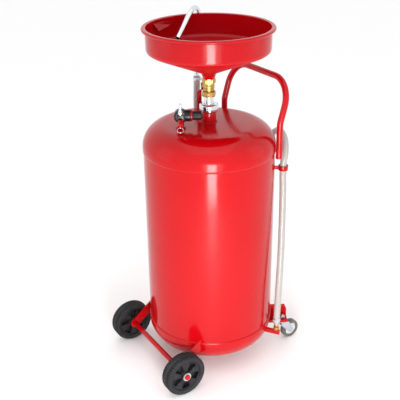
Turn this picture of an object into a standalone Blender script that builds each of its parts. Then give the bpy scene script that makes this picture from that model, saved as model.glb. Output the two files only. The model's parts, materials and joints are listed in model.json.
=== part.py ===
"""Portable waste-oil drainer: a steel tank on wheels with a height-adjustable catch bowl.

Metres, +Z up. The origin is on the floor in the middle of the wheelbase, on the tank's own axis.
The two big wheels are on the -Y side, the two swivel casters and the push handle on the +Y side.
"""
import math

import bmesh
import bpy
from mathutils import Matrix, Vector

for old in list(bpy.data.objects):
    bpy.data.objects.remove(old, do_unlink=True)

# ---------------------------------------------------------------- driving dimensions
GAP = 0.0003              # clearance kept between pieces that touch
ROUND = 32                # steps around the tank and the bowl

TANK_R = 0.2003           # outside of the dished heads' skirts
SHELL_R = 0.1980          # outside of the rolled shell, which slips inside the skirts
SHEET = 0.0025            # wall of shell and heads
SEAM_LOW = 0.134          # lower edge of the visible shell
SEAM_HIGH = 0.706         # upper edge of the visible shell
SKIRT = 0.0110            # straight part of a dished head
CROWN_R = 3.0             # dish radius of a head, nearly flat
KNUCKLE_R = 0.070         # corner radius of a head
SHELL_TUCK = 0.012        # how far the shell reaches into each skirt

NECK_R = 0.0212           # steel neck welded through the top head
NECK_TOP = 0.822
TUBE_R = 0.0140           # telescopic tube
TUBE_BOTTOM = 0.060
COLLAR_R = 0.0285
COLLAR_Z = (0.8235, 0.8460)

VALVE_Z = 0.8945          # height of the ball valve's centre
VALVE_HALF = 0.0265       # half the valve's length
BALL_R = 0.0115
PORT_R = 0.0080

RIM_R = 0.1902            # outside of the bowl's rolled rim
RIM_Z = 1.0665            # centre of the rolled rim
BEAD_R = 0.0045
HOOK_R = 0.0075           # discharge nozzle tube hooked over the rim

WHEEL_R = 0.067
WHEEL_W = 0.042
WHEEL_X = 0.1716
WHEEL_Y = -0.209
AXLE_R = 0.0080
BRACKET_X = 0.147
BAR_T = 0.005
BAR_W = 0.030

CASTER_X = 0.118
CASTER_Y = 0.213
CASTER_R = 0.0315
CASTER_W = 0.022
CASTER_TRAIL = 0.0315
CASTER_PLATE = 0.0800     # underside of the caster bracket's bottom plate

HANDLE_R = 0.0095
HANDLE_X = 0.145
HANDLE_Y = 0.152
HANDLE_TOP = (0.187, 0.915)   # y and z of the crossbar

HOSE_R = 0.0105
OUTLET_TURN = math.radians(35.5)
OUTLET_REACH = 0.230      # tank axis to the hose's lower end
OUTLET_Z = 0.098
CLIP_TURN = math.radians(57.4)
CLIP_REACH = 0.2244
CLIP_Z = 0.640

REG_CENTRE = Vector((0.0, -0.097, 0.826))
REG_TURN = math.radians(58.0)   # the regulator knob points this way in plan
SAFETY_LEAN = 58.0        # degrees between the safety valve and straight down


# ---------------------------------------------------------------- materials
def paint(name, colour, metallic=0.0, roughness=0.4):
    """A Principled material in one finish."""
    made = bpy.data.materials.new(name)
    made.use_nodes = True
    shader = made.node_tree.nodes["Principled BSDF"]
    shader.inputs["Base Color"].default_value = (*colour, 1.0)
    shader.inputs["Metallic"].default_value = metallic
    shader.inputs["Roughness"].default_value = roughness
    made.diffuse_color = (*colour, 1.0)
    return made


RED = ((0.72, 0.012, 0.016), 0.0, 0.22)
ZINC = ((0.72, 0.74, 0.76), 1.0, 0.30)
CHROME = ((0.80, 0.81, 0.82), 1.0, 0.12)
BRASS = ((0.74, 0.52, 0.20), 1.0, 0.28)
BLACK = ((0.016, 0.016, 0.018), 0.0, 0.40)
TYRE = ((0.045, 0.047, 0.052), 0.0, 0.75)
GREY = ((0.10, 0.095, 0.09), 0.0, 0.65)
NYLON = ((0.75, 0.74, 0.70), 0.0, 0.50)
CLEAR = ((0.80, 0.78, 0.72), 0.0, 0.35)


# ---------------------------------------------------------------- making helpers
def finish(name, mesh, finish_values, parent=None, smooth=True):
    """Link the mesh as a named object with its own material, shaded smooth up to its sharp edges."""
    if smooth:
        mesh.shade_smooth()
        mesh.set_sharp_from_angle(angle=math.radians(35))
    mesh.materials.append(paint(name, *finish_values))
    made = bpy.data.objects.new(name, mesh)
    bpy.context.scene.collection.objects.link(made)
    made.parent = parent
    return made


def to_mesh(name, shape):
    """Turn a bmesh into a mesh with its faces pointing out."""
    bmesh.ops.recalc_face_normals(shape, faces=shape.faces)
    mesh = bpy.data.meshes.new(name)
    shape.to_mesh(mesh)
    shape.free()
    return mesh


def pivot(name, place, turn=0.0):
    """An empty on a joint's axis, turned about Z."""
    made = bpy.data.objects.new(name, None)
    made.location = place
    made.rotation_euler = (0.0, 0.0, turn)
    bpy.context.scene.collection.objects.link(made)
    return made


def turned(profile, steps=24, place=Matrix()):
    """Spin a profile of (radius, z) about Z: a closed ring, or a solid where both ends are on the axis."""
    shape = bmesh.new()
    rings = []
    for radius, height in profile:
        if radius == 0.0:
            rings.append([shape.verts.new((0.0, 0.0, height))])
            continue
        ring = []
        for step in range(steps):
            angle = math.tau * step / steps
            ring.append(shape.verts.new((radius * math.cos(angle), radius * math.sin(angle), height)))
        rings.append(ring)
    open_profile = profile[0][0] == 0.0
    pairs = list(zip(rings, rings[1:]))
    if not open_profile:
        pairs.append((rings[-1], rings[0]))
    for low, high in pairs:
        for step in range(steps):
            after = (step + 1) % steps
            if len(low) == 1:
                shape.faces.new((low[0], high[after], high[step]))
            elif len(high) == 1:
                shape.faces.new((low[step], low[after], high[0]))
            else:
                shape.faces.new((low[step], low[after], high[after], high[step]))
    bmesh.ops.transform(shape, matrix=place, verts=shape.verts)
    return shape


def rod(radius, low, high, steps=16, place=Matrix(), edge=0.0):
    """A round bar along Z between two heights, with chamfered ends where edge is given."""
    if edge:
        profile = [(0.0, low), (radius - edge, low), (radius, low + edge),
                   (radius, high - edge), (radius - edge, high), (0.0, high)]
    else:
        profile = [(0.0, low), (radius, low), (radius, high), (0.0, high)]
    return turned(profile, steps, place)


def washer(outer, inner, low, high, steps=16, place=Matrix()):
    """A flat ring about Z between two heights."""
    return turned([(inner, low), (outer, low), (outer, high), (inner, high)], steps, place)


def hex_ring(across, inner, low, high, place=Matrix()):
    """A nut: a hexagon of this width across its flats around a round bore of twelve sides."""
    shape = bmesh.new()
    rows = []
    for height in (low, high):
        outside = []
        inside = []
        for step in range(12):
            angle = math.tau * step / 12
            reach = across / 2
            if step % 2 == 0:
                reach /= math.cos(math.pi / 6)
            outside.append(shape.verts.new((reach * math.cos(angle), reach * math.sin(angle), height)))
            inside.append(shape.verts.new((inner * math.cos(angle), inner * math.sin(angle), height)))
        rows.append((outside, inside))
    for step in range(12):
        after = (step + 1) % 12
        (low_out, low_in), (high_out, high_in) = rows
        shape.faces.new((low_out[step], low_out[after], high_out[after], high_out[step]))
        shape.faces.new((low_in[after], low_in[step], high_in[step], high_in[after]))
        shape.faces.new((low_in[step], low_in[after], low_out[after], low_out[step]))
        shape.faces.new((high_out[step], high_out[after], high_in[after], high_in[step]))
    bmesh.ops.transform(shape, matrix=place, verts=shape.verts)
    return shape


def block(low, high, place=Matrix()):
    """A box between two corners."""
    shape = bmesh.new()
    bmesh.ops.create_cube(shape, size=1.0)
    size = Vector(high) - Vector(low)
    middle = (Vector(high) + Vector(low)) / 2
    bmesh.ops.scale(shape, vec=size, verts=shape.verts)
    bmesh.ops.translate(shape, vec=middle, verts=shape.verts)
    bmesh.ops.transform(shape, matrix=place, verts=shape.verts)
    return shape


def slab(outline, low, high, place=Matrix()):
    """A flat outline of (u, v) points given a thickness along Z."""
    shape = bmesh.new()
    bottom = [shape.verts.new((u, v, low)) for u, v in outline]
    top = [shape.verts.new((u, v, high)) for u, v in outline]
    shape.faces.new(list(reversed(bottom)))
    shape.faces.new(top)
    for step, after in zip(range(len(outline)), list(range(1, len(outline))) + [0]):
        shape.faces.new((bottom[step], bottom[after], top[after], top[step]))
    bmesh.ops.transform(shape, matrix=place, verts=shape.verts)
    return shape


def joined(shapes, name):
    """The Boolean union of several closed bmeshes, as one mesh."""
    return shaped(name, shapes[0], shapes[1:], [])


def shaped(name, first, adds, cuts):
    """A mesh made by adding solids to a first one and cutting others away."""
    base = bpy.data.objects.new(name + "_base", to_mesh(name + "_base", first))
    bpy.context.scene.collection.objects.link(base)
    tools = []
    for operation, solids in (("UNION", adds), ("DIFFERENCE", cuts)):
        for number, solid in enumerate(solids):
            label = "%s_%s_%d" % (name, operation.lower(), number)
            tool = bpy.data.objects.new(label, to_mesh(label, solid))
            bpy.context.scene.collection.objects.link(tool)
            tools.append(tool)
            step = base.modifiers.new(label, "BOOLEAN")
            step.operation = operation
            step.solver = "EXACT"
            step.object = tool
    bpy.context.view_layer.update()
    ready = base.evaluated_get(bpy.context.evaluated_depsgraph_get())
    result = bpy.data.meshes.new_from_object(ready)
    result.name = name
    for extra in tools + [base]:
        bpy.data.objects.remove(extra, do_unlink=True)
    return result


def along(points, radius, bore=0.0, sides=10):
    """A round bar or, with a bore, a tube swept along points, its rings carried without twist."""
    shape = bmesh.new()
    path = [Vector(point) for point in points]
    heading = (path[1] - path[0]).normalized()
    side = heading.orthogonal().normalized()
    rings = []
    for number, centre in enumerate(path):
        before = path[max(number - 1, 0)]
        after = path[min(number + 1, len(path) - 1)]
        turn = heading.rotation_difference((after - before).normalized())
        heading = (after - before).normalized()
        side = (turn @ side).normalized()
        up = heading.cross(side)
        ring = []
        for reach in ((radius, bore) if bore else (radius,)):
            circle = []
            for step in range(sides):
                angle = math.tau * step / sides
                offset = side * math.cos(angle) + up * math.sin(angle)
                circle.append(shape.verts.new(centre + offset * reach))
            ring.append(circle)
        rings.append(ring)
    for low, high in zip(rings, rings[1:]):
        for skin_low, skin_high in zip(low, high):
            for step in range(sides):
                after = (step + 1) % sides
                shape.faces.new((skin_low[step], skin_low[after], skin_high[after], skin_high[step]))
    for end in (rings[0], rings[-1]):
        if not bore:
            shape.faces.new(end[0])
            continue
        for step in range(sides):
            after = (step + 1) % sides
            shape.faces.new((end[0][step], end[0][after], end[1][after], end[1][step]))
    return shape


def rounded(corners, radii, steps=5):
    """A path of straight runs whose inner corners are arcs of the given radii."""
    path = [Vector(corners[0])]
    for before, corner, after, radius in zip(corners, corners[1:], corners[2:], radii):
        corner = Vector(corner)
        back = (Vector(before) - corner).normalized()
        ahead = (Vector(after) - corner).normalized()
        half = back.angle(ahead) / 2
        centre = corner + (back + ahead).normalized() * (radius / math.sin(half))
        start = corner + back * (radius / math.tan(half)) - centre
        stop = corner + ahead * (radius / math.tan(half)) - centre
        sweep = start.angle(stop)
        for step in range(steps + 1):
            part = step / steps
            blend = (start * math.sin((1 - part) * sweep) + stop * math.sin(part * sweep)) / math.sin(sweep)
            path.append(centre + blend)
    path.append(Vector(corners[-1]))
    return path


def smooth_route(route, spacing):
    """Points at an even spacing on the Catmull-Rom curve through a route's own points."""
    knots = [Vector(point) for point in route]
    knots = [2 * knots[0] - knots[1]] + knots + [2 * knots[-1] - knots[-2]]
    fine = []
    for a, b, c, d in zip(knots, knots[1:], knots[2:], knots[3:]):
        for step in range(24):
            t = step / 24
            fine.append(0.5 * (2 * b + (c - a) * t + (2 * a - 5 * b + 4 * c - d) * t ** 2
                               + (3 * b - a - 3 * c + d) * t ** 3))
    fine.append(knots[-2])
    lengths = [0.0]
    for a, b in zip(fine, fine[1:]):
        lengths.append(lengths[-1] + (b - a).length)
    count = max(2, round(lengths[-1] / spacing))
    points = []
    index = 0
    for number in range(count + 1):
        target = lengths[-1] * number / count
        while index < len(fine) - 2 and lengths[index + 1] < target:
            index += 1
        span = lengths[index + 1] - lengths[index]
        points.append(fine[index].lerp(fine[index + 1], (target - lengths[index]) / span))
    return points


SIDE_ON = Matrix.Rotation(math.radians(90), 4, "Y")        # local Z becomes +X
FACE_ON = Matrix.Rotation(math.radians(90), 4, "X")        # local Z becomes -Y
IN_YZ = Matrix(((0, 0, 1, 0), (1, 0, 0, 0), (0, 1, 0, 0), (0, 0, 0, 1)))   # outline (u, v) lies in (y, z)
IN_XZ = Matrix(((1, 0, 0, 0), (0, 0, -1, 0), (0, 1, 0, 0), (0, 0, 0, 1)))  # outline (u, v) lies in (x, z)


# ---------------------------------------------------------------- tank
def head_outline(skin):
    """Dished head from its skirt edge to the crown, pushed in by the skin, as (radius, height) points."""
    knuckle_at = TANK_R - KNUCKLE_R
    rise = math.sqrt((CROWN_R - KNUCKLE_R) ** 2 - knuckle_at ** 2)
    meet = math.asin(knuckle_at / (CROWN_R - KNUCKLE_R))
    points = [(TANK_R - skin, 0.0)]
    for step in range(6):
        angle = (math.pi / 2 - meet) * step / 5
        points.append((knuckle_at + (KNUCKLE_R - skin) * math.cos(angle),
                       SKIRT + (KNUCKLE_R - skin) * math.sin(angle)))
    points.append(((CROWN_R - skin) * math.sin(meet / 2),
                   SKIRT - rise + (CROWN_R - skin) * math.cos(meet / 2)))
    return points, SKIRT - rise + CROWN_R - skin


def head_ring(hole):
    """Closed section of a head, with a centre hole of the given radius, or none at all."""
    outer, outer_top = head_outline(0.0)
    inner, inner_top = head_outline(SHEET * 0.8)
    if not hole:
        return [(0.0, inner_top)] + inner[::-1] + outer + [(0.0, outer_top)]
    drop = CROWN_R - math.sqrt(CROWN_R ** 2 - hole ** 2)
    return inner + [(hole, inner_top - drop), (hole, outer_top - drop)] + outer[::-1]


def tank_envelope():
    """The whole tank's outer form, grown by the gap: what a welded-on bracket is cut back to."""
    outer, apex = head_outline(-GAP)
    low = [(radius, SEAM_LOW - height) for radius, height in outer]
    high = [(radius, SEAM_HIGH + height) for radius, height in outer]
    waist = [(SHELL_R + GAP, SEAM_LOW), (SHELL_R + GAP, SEAM_HIGH)]
    return turned([(0.0, SEAM_LOW - apex)] + low[::-1] + waist + high + [(0.0, SEAM_HIGH + apex)], ROUND)


def tank():
    """Rolled shell, two dished heads, and the neck that the telescopic tube slides through."""
    inside = SHELL_R - SHEET
    low = SEAM_LOW - SHELL_TUCK + SHEET
    high = SEAM_HIGH + SHELL_TUCK - SHEET
    shell = washer(SHELL_R, inside, low, high, ROUND)
    finish("tank_shell", to_mesh("tank_shell", shell), RED)

    top = turned(head_ring(NECK_R + GAP), ROUND, Matrix.Translation((0, 0, SEAM_HIGH)))
    finish("tank_top_head", to_mesh("tank_top_head", top), RED)

    flip = Matrix.Translation((0, 0, SEAM_LOW)) @ Matrix.Scale(-1, 4, (0, 0, 1))
    bottom = turned(head_ring(0.0), ROUND, flip)
    outlet_hole = rod(0.0085 + GAP, 0.150, 0.260, 16, outlet_frame())
    finish("tank_bottom_head", shaped("tank_bottom_head", bottom, [], [outlet_hole]), RED)

    neck = turned([(0.0180, 0.770), (NECK_R, 0.770), (NECK_R, NECK_TOP - 0.001), (NECK_R - 0.001, NECK_TOP),
                   (0.0180, NECK_TOP)], 20)
    finish("filler_neck", to_mesh("filler_neck", neck), RED)
    sleeve = washer(0.0180 - GAP, TUBE_R + GAP, 0.772, 0.812, 20)
    finish("guide_sleeve", to_mesh("guide_sleeve", sleeve), NYLON)
    seal = turned([(0.0146, 0.8150), (0.0160, 0.8130), (0.0174, 0.8150), (0.0160, 0.8170)], 20)
    finish("neck_seal", to_mesh("neck_seal", seal), BLACK)


def outlet_frame():
    """Matrix whose Z runs out of the tank along the drain outlet, at the outlet's height."""
    level = Matrix.Translation((0, 0, OUTLET_Z))
    return level @ Matrix.Rotation(OUTLET_TURN, 4, "Z") @ SIDE_ON


# ---------------------------------------------------------------- collar, tube and valve
def lock_collar():
    """Chromed clamp collar that turns on the neck's thread and grips the telescopic tube."""
    low, high = COLLAR_Z
    over_neck = NECK_TOP + 0.0008
    profile = [(TUBE_R + GAP, over_neck), (COLLAR_R - 0.0035, over_neck), (COLLAR_R, low + 0.0030),
               (COLLAR_R, high - 0.0045), (COLLAR_R - 0.0020, high - 0.0015), (COLLAR_R - 0.0060, high),
               (TUBE_R + GAP, high)]
    finish("lock_collar", to_mesh("lock_collar", turned(profile, 24)), CHROME)


def lift_tube(carriage):
    """Telescopic tube and the stop ring that keeps it in the tank."""
    top = VALVE_Z - VALVE_HALF - GAP
    tube = washer(TUBE_R, TUBE_R - 0.0020, TUBE_BOTTOM, top, 20)
    finish("inner_tube", to_mesh("inner_tube", tube), CHROME, carriage)
    stop = washer(0.0185, TUBE_R + GAP, 0.100, 0.112, 20)
    finish("tube_stop", to_mesh("tube_stop", stop), ZINC, carriage)


def valve(carriage, lever):
    """Brass ball valve with its seats, gland, stem and cranked lever."""
    here = Matrix.Translation((0, 0, VALVE_Z))
    upper = hex_ring(0.0340, PORT_R, 0.0115, VALVE_HALF, here)
    casting = [(0.0122, -0.0105), (0.0150, -0.0105), (0.0160, -0.0085), (0.0160, -0.0030), (0.0168, 0.0),
               (0.0168, 0.0050), (0.0158, 0.0075), (0.0158, 0.0120), (PORT_R, 0.0120), (PORT_R, 0.0116),
               (0.0122, 0.0116)]
    middle = turned(casting, 24, here)
    stem_hole = rod(0.0035, -0.030, -0.009, 12, here @ SIDE_ON)
    finish("valve_body", shaped("valve_body", middle, [upper], [stem_hole]), BRASS, carriage)
    end_nut = hex_ring(0.0365, PORT_R, -VALVE_HALF, -0.0122, here)
    collar = washer(0.0165, 0.0122, -0.0125, -0.0108, 24, here)
    finish("valve_end_nut", joined([end_nut, collar], "valve_end_nut"), BRASS, carriage)
    seat = [(PORT_R, 0.0113), (PORT_R + 0.0002, 0.0085), (0.0119, 0.0085), (0.0119, 0.0113)]
    finish("valve_seat_upper", to_mesh("valve_seat_upper", turned(seat, 16, here)), NYLON, carriage)
    under = here @ Matrix.Scale(-1, 4, (0, 0, 1))
    finish("valve_seat_lower", to_mesh("valve_seat_lower", turned(seat, 16, under)), NYLON, carriage)
    gland = hex_ring(0.0150, 0.0035, -0.0240, -0.0172, here @ SIDE_ON)
    finish("gland_nut", to_mesh("gland_nut", gland), BRASS, carriage)

    arc = [(BALL_R * math.cos(angle), BALL_R * math.sin(angle))
           for angle in (math.radians(-45 + 22.5 * step) for step in range(5))]
    port = BALL_R * math.cos(math.radians(45)) - 0.0006
    ball = turned([(port, arc[0][1])] + arc + [(port, arc[-1][1])], 16)
    finish("valve_ball", to_mesh("valve_ball", ball), CHROME, lever)
    stem = rod(0.0030, -0.0385, -BALL_R - GAP, 12, SIDE_ON, 0.0005)
    finish("valve_stem", to_mesh("valve_stem", stem), BRASS, lever)
    strip = [(-0.0275, 0.0085), (-0.0305, 0.0085), (-0.0305, -0.0125), (-0.0545, -0.0245), (-0.0545, -0.0870),
             (-0.0515, -0.0870), (-0.0515, -0.0262), (-0.0275, -0.0140)]
    arm = slab(strip, -0.008, 0.008, IN_XZ)
    eye = rod(0.0033, -0.035, -0.020, 12, SIDE_ON)
    finish("valve_lever", shaped("valve_lever", arm, [], [eye]), RED, lever)
    nut = hex_ring(0.0100, 0.0033, -0.0362, -0.0308, SIDE_ON)
    finish("lever_nut", to_mesh("lever_nut", nut), BLACK, lever)


# ---------------------------------------------------------------- bowl and discharge nozzle
def bowl(carriage):
    """Spun steel catch bowl: rolled rim, upright wall, shallow cone and drain spigot."""
    outer = [(0.0172, VALVE_Z + VALVE_HALF + GAP), (0.0190, 0.926), (0.0215, 0.934), (0.0260, 0.9385),
             (0.1700, 0.9985), (0.1770, 1.0030), (0.1790, 1.0100), (0.1795, RIM_Z - 0.002)]
    centre = RIM_R - BEAD_R
    bead = [(centre + BEAD_R * math.cos(angle), RIM_Z + BEAD_R * math.sin(angle))
            for angle in (math.radians(200 + 50 * step) for step in range(6))]
    inner = [(0.1776, RIM_Z + 0.0035), (0.1771, 1.0105), (0.1755, 1.0048), (0.1690, 1.0004), (0.0245, 0.9401),
             (0.0190, 0.9355), (0.0165, 0.931), (0.0150, VALVE_Z + VALVE_HALF + GAP)]
    finish("bowl", to_mesh("bowl", turned(outer + bead + inner, ROUND)), RED, carriage)


def drip_plate(carriage):
    """Small folded plate welded across the inside of the wall, which rests tools and filters to drain."""
    reach = 0.1735
    left, right = math.radians(173), math.radians(214)
    ends = [Vector((reach * math.cos(angle), reach * math.sin(angle), 1.064)) for angle in (left, right)]
    fold = Vector((-0.1640, -0.0260, 1.0490))
    low = Vector((-0.1435, -0.0790, 1.0400))
    shape = bmesh.new()
    skins = []
    for shift in (0.0, -0.0015):
        skins.append([shape.verts.new(point + Vector((shift, shift * 0.3, shift)))
                      for point in (ends[0], fold, low, ends[1])])
    upper, under = skins
    shape.faces.new((upper[0], upper[1], upper[3]))
    shape.faces.new((upper[1], upper[2], upper[3]))
    shape.faces.new((under[3], under[1], under[0]))
    shape.faces.new((under[3], under[2], under[1]))
    for step in range(4):
        after = (step + 1) % 4
        shape.faces.new((upper[step], under[step], under[after], upper[after]))
    finish("drip_plate", to_mesh("drip_plate", shape), RED, carriage, smooth=False)


HOOK_ROUTE = [
    (-0.118, -0.032, 1.018), (-0.134, -0.004, 1.042), (-0.151, 0.026, 1.070),
    (-0.1655, 0.050, 1.0855), (-0.1765, 0.069, 1.0850), (-0.1855, 0.083, 1.066),
    (-0.1870, 0.0850, 1.030), (-0.1870, 0.0800, 0.970), (-0.1870, 0.0755, 0.920),
    (-0.1870, 0.0750, 0.896), (-0.1870, 0.0750, 0.872),
]


def clamp_ring(name, centre, parent, turn):
    """Worm-drive hose clamp: a band and its screw housing."""
    here = Matrix.Translation(centre) @ Matrix.Rotation(turn, 4, "Z")
    band = washer(HOSE_R + 0.0015, HOSE_R + 0.0005, -0.0050, 0.0050, 20, here)
    housing = block((HOSE_R + 0.0010, -0.0070, -0.0040), (HOSE_R + 0.0062, 0.0070, 0.0040), here)
    finish(name, joined([band, housing], name), ZINC, parent)


# ---------------------------------------------------------------- drain hose and its fittings
HOSE_ROUTE = [
    (0.1872, 0.1336, 0.1313), (0.1870, 0.1340, 0.1650), (0.1815, 0.1410, 0.2500),
    (0.1670, 0.1560, 0.3600), (0.1460, 0.1730, 0.4700), (0.1290, 0.1850, 0.5600),
    (0.1210, 0.1889, 0.6150), (0.1208, 0.1891, 0.6500), (0.1140, 0.2000, 0.6880),
    (0.0910, 0.2144, 0.7160), (0.0543, 0.2285, 0.7270), (0.0149, 0.2385, 0.7155),
    (-0.0163, 0.2418, 0.6850), (-0.0313, 0.2373, 0.6430), (-0.0370, 0.2365, 0.5900),
    (-0.0430, 0.2370, 0.5300), (-0.0563, 0.2386, 0.4850), (-0.0875, 0.2264, 0.4520),
    (-0.1304, 0.2013, 0.4400), (-0.1699, 0.1711, 0.4520), (-0.1938, 0.1459, 0.4850),
    (-0.2000, 0.1330, 0.5300), (-0.2040, 0.1200, 0.5850), (-0.2060, 0.1040, 0.6400),
    (-0.2040, 0.0900, 0.7000), (-0.1975, 0.0800, 0.7550), (-0.1905, 0.0755, 0.8020),
    (-0.1875, 0.0748, 0.8350), (-0.1870, 0.0750, 0.8712),
]


def drain_hose():
    """Clear discharge hose, about 1.5 m: outlet, clip, free loop behind the tank, hooked nozzle."""
    curve = bpy.data.curves.new("drain_hose", "CURVE")
    curve.dimensions = "3D"
    points = smooth_route(HOSE_ROUTE, 0.042)
    line = curve.splines.new("POLY")
    line.points.add(len(points) - 1)
    for place, point in zip(line.points, points):
        place.co = (*point, 1.0)
    curve.bevel_depth = HOSE_R
    curve.bevel_resolution = 2
    curve.use_fill_caps = True
    curve.render_resolution_u = 0
    curve.materials.append(paint("drain_hose", *CLEAR))
    bpy.context.scene.collection.objects.link(bpy.data.objects.new("drain_hose", curve))


def hose_fittings():
    """Welded outlet pipe, brass hose tail, lower clamp, and the clip on the tank's shoulder."""
    frame = outlet_frame()
    stand = frame @ Matrix.Translation((0, 0, OUTLET_REACH)) @ SIDE_ON.inverted()
    pipe = rod(0.0085, 0.176, OUTLET_REACH + 0.0115, 16, frame, 0.0008)
    boss = rod(0.0092, 0.0, 0.0095, 16, stand)
    bore = rod(0.0055, 0.170, OUTLET_REACH + 0.003, 12, frame)
    riser = rod(0.0050, -0.001, 0.012, 12, stand)
    finish("outlet_pipe", shaped("outlet_pipe", pipe, [boss], [bore, riser]), RED)
    hexagon = hex_ring(0.0165, 0.0048, 0.0098, 0.0190, stand)
    tail = turned([(0.0048, 0.0188), (0.0068, 0.0188), (0.0078, 0.0225), (0.0068, 0.0228), (0.0078, 0.0270),
                   (0.0066, 0.0330), (0.0048, 0.0330)], 12, stand)
    finish("outlet_fitting", joined([hexagon, tail], "outlet_fitting"), BRASS)
    clamp_ring("hose_clamp_lower", (0.1869, 0.1339, 0.148), None, math.radians(-60))

    ring_at = Matrix.Rotation(CLIP_TURN, 4, "Z") @ Matrix.Translation((CLIP_REACH, 0, CLIP_Z))
    ring = washer(HOSE_R + 0.0044, HOSE_R + 0.0022, -0.0075, 0.0075, 20, ring_at)
    arm = block((-0.0300, -0.0015, -0.0065), (-HOSE_R - 0.0030, 0.0015, 0.0065), ring_at)
    finish("hose_clip", shaped("hose_clip", ring, [arm], [tank_envelope()]), RED)


# ---------------------------------------------------------------- air inlet
def air_inlet(regulator, knob, lock_ring, pull):
    """Compressed-air inlet on the tank top: bung, nipple, regulator, quick plug and safety valve."""
    centre = REG_CENTRE
    bung = rod(0.0140, 0.768, 0.7940, 20, Matrix.Translation((centre.x, centre.y, 0)), 0.0010)
    finish("inlet_bung", shaped("inlet_bung", bung, [], [tank_envelope()]), RED)
    nipple = hex_ring(0.0170, 0.0040, 0.7943, 0.7997, Matrix.Translation((centre.x, centre.y, 0)))
    finish("inlet_nipple", to_mesh("inlet_nipple", nipple), BRASS)

    drum = rod(0.0195, -0.0140, 0.0140, 24, FACE_ON, 0.0025)
    foot = rod(0.0095, -0.0260, -0.0100, 16)
    bonnet = rod(0.0170, 0.0100, 0.0285, 20, SIDE_ON, 0.0010)
    shank = rod(0.0060, 0.0280, 0.0440, 16, SIDE_ON)
    boss = rod(0.0095, 0.0100, 0.0310, 18, Matrix.Translation((0, 0, 0.001)) @ FACE_ON, 0.0012)
    seat = rod(0.0083, -GAP, 0.0400, 20, safety_frame())
    body = shaped("regulator_body", drum, [foot, bonnet, shank, boss], [seat])
    finish("regulator_body", body, BLACK, regulator)

    plug_at = Matrix.Translation((0, -0.0220, 0.0108))
    stepped = [(0.0, 0.0), (0.0070, 0.0), (0.0070, 0.0080), (0.0048, 0.0092), (0.0048, 0.0150),
               (0.0058, 0.0165), (0.0058, 0.0200), (0.0042, 0.0215), (0.0042, 0.0270), (0.0030, 0.0325),
               (0.0, 0.0325)]
    plug = turned(stepped, 14, plug_at)
    finish("quick_plug", to_mesh("quick_plug", plug), CHROME, regulator)

    valve_body = turned([(0.0025, 0.0), (0.0060, 0.0), (0.0080, 0.0020), (0.0080, 0.0190), (0.0068, 0.0220),
                         (0.0025, 0.0220)], 16)
    lean = safety_frame()
    bmesh.ops.transform(valve_body, matrix=lean, verts=valve_body.verts)
    finish("safety_valve_body", to_mesh("safety_valve_body", valve_body), RED, regulator)

    ring = washer(0.0170, 0.0070, 0.0288, 0.0335, 20, SIDE_ON)
    finish("regulator_lock_ring", to_mesh("regulator_lock_ring", ring), RED, lock_ring)
    grip = turned([(0.0, 0.0620), (0.0095, 0.0620), (0.0125, 0.0600), (0.0130, 0.0570), (0.0130, 0.0345),
                   (0.0122, 0.0338), (0.0064, 0.0338), (0.0064, 0.0450), (0.0, 0.0450)], 20, SIDE_ON)
    finish("regulator_knob", to_mesh("regulator_knob", grip), BLACK, knob)

    stem = rod(0.0021, 0.0020, 0.0262, 12)
    eye = along([(0.0088 * math.cos(a), 0.0, 0.0343 - 0.0088 * math.sin(a))
                 for a in (math.radians(90 + 340 * step / 16) for step in range(17))], 0.0011, 0.0, 6)
    handle = joined([stem, eye], "safety_pull_ring")
    finish("safety_pull_ring", handle, CHROME, pull)


def safety_frame():
    """Place and lean of the safety valve under the regulator: its Z runs down and forward."""
    lean = Matrix.Rotation(math.radians(180 - SAFETY_LEAN), 4, "X")
    return Matrix.Translation((0, -0.0225, -0.0085)) @ lean


# ---------------------------------------------------------------- running gear
def wheel(side, label, spin):
    """Moulded wheel with a solid tyre, on its pivot."""
    half = WHEEL_W / 2
    section = [(0.0500, -0.0170), (0.0520, -0.0185), (0.0600, -half), (0.0645, -0.0185),
               (WHEEL_R, -0.0140), (WHEEL_R, 0.0140), (0.0645, 0.0185), (0.0600, half),
               (0.0520, 0.0185), (0.0500, 0.0170)]
    tyre = turned(section, 24, SIDE_ON)
    finish("tyre_" + label, to_mesh("tyre_" + label, tyre), TYRE, spin)
    rim_r = 0.0500 - GAP
    centre = [(AXLE_R + GAP, -half), (0.0150, -half), (0.0175, -0.0080), (0.0440, -0.0080),
              (0.0465, -0.0160), (rim_r, -0.0160), (rim_r, 0.0160), (0.0465, 0.0160),
              (0.0440, 0.0080), (0.0175, 0.0080), (0.0150, half), (AXLE_R + GAP, half)]
    rim = turned(centre, 24, SIDE_ON)
    finish("wheel_rim_" + label, to_mesh("wheel_rim_" + label, rim), BLACK, spin)
    start = WHEEL_X + half + GAP
    place = Matrix.Translation((0, WHEEL_Y, WHEEL_R)) @ Matrix.Rotation(math.radians(90 * side), 4, "Y")
    plate = washer(0.0135, AXLE_R + GAP, start, start + 0.0015, 16, place)
    finish("axle_washer_" + label, to_mesh("axle_washer_" + label, plate), ZINC)


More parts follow.
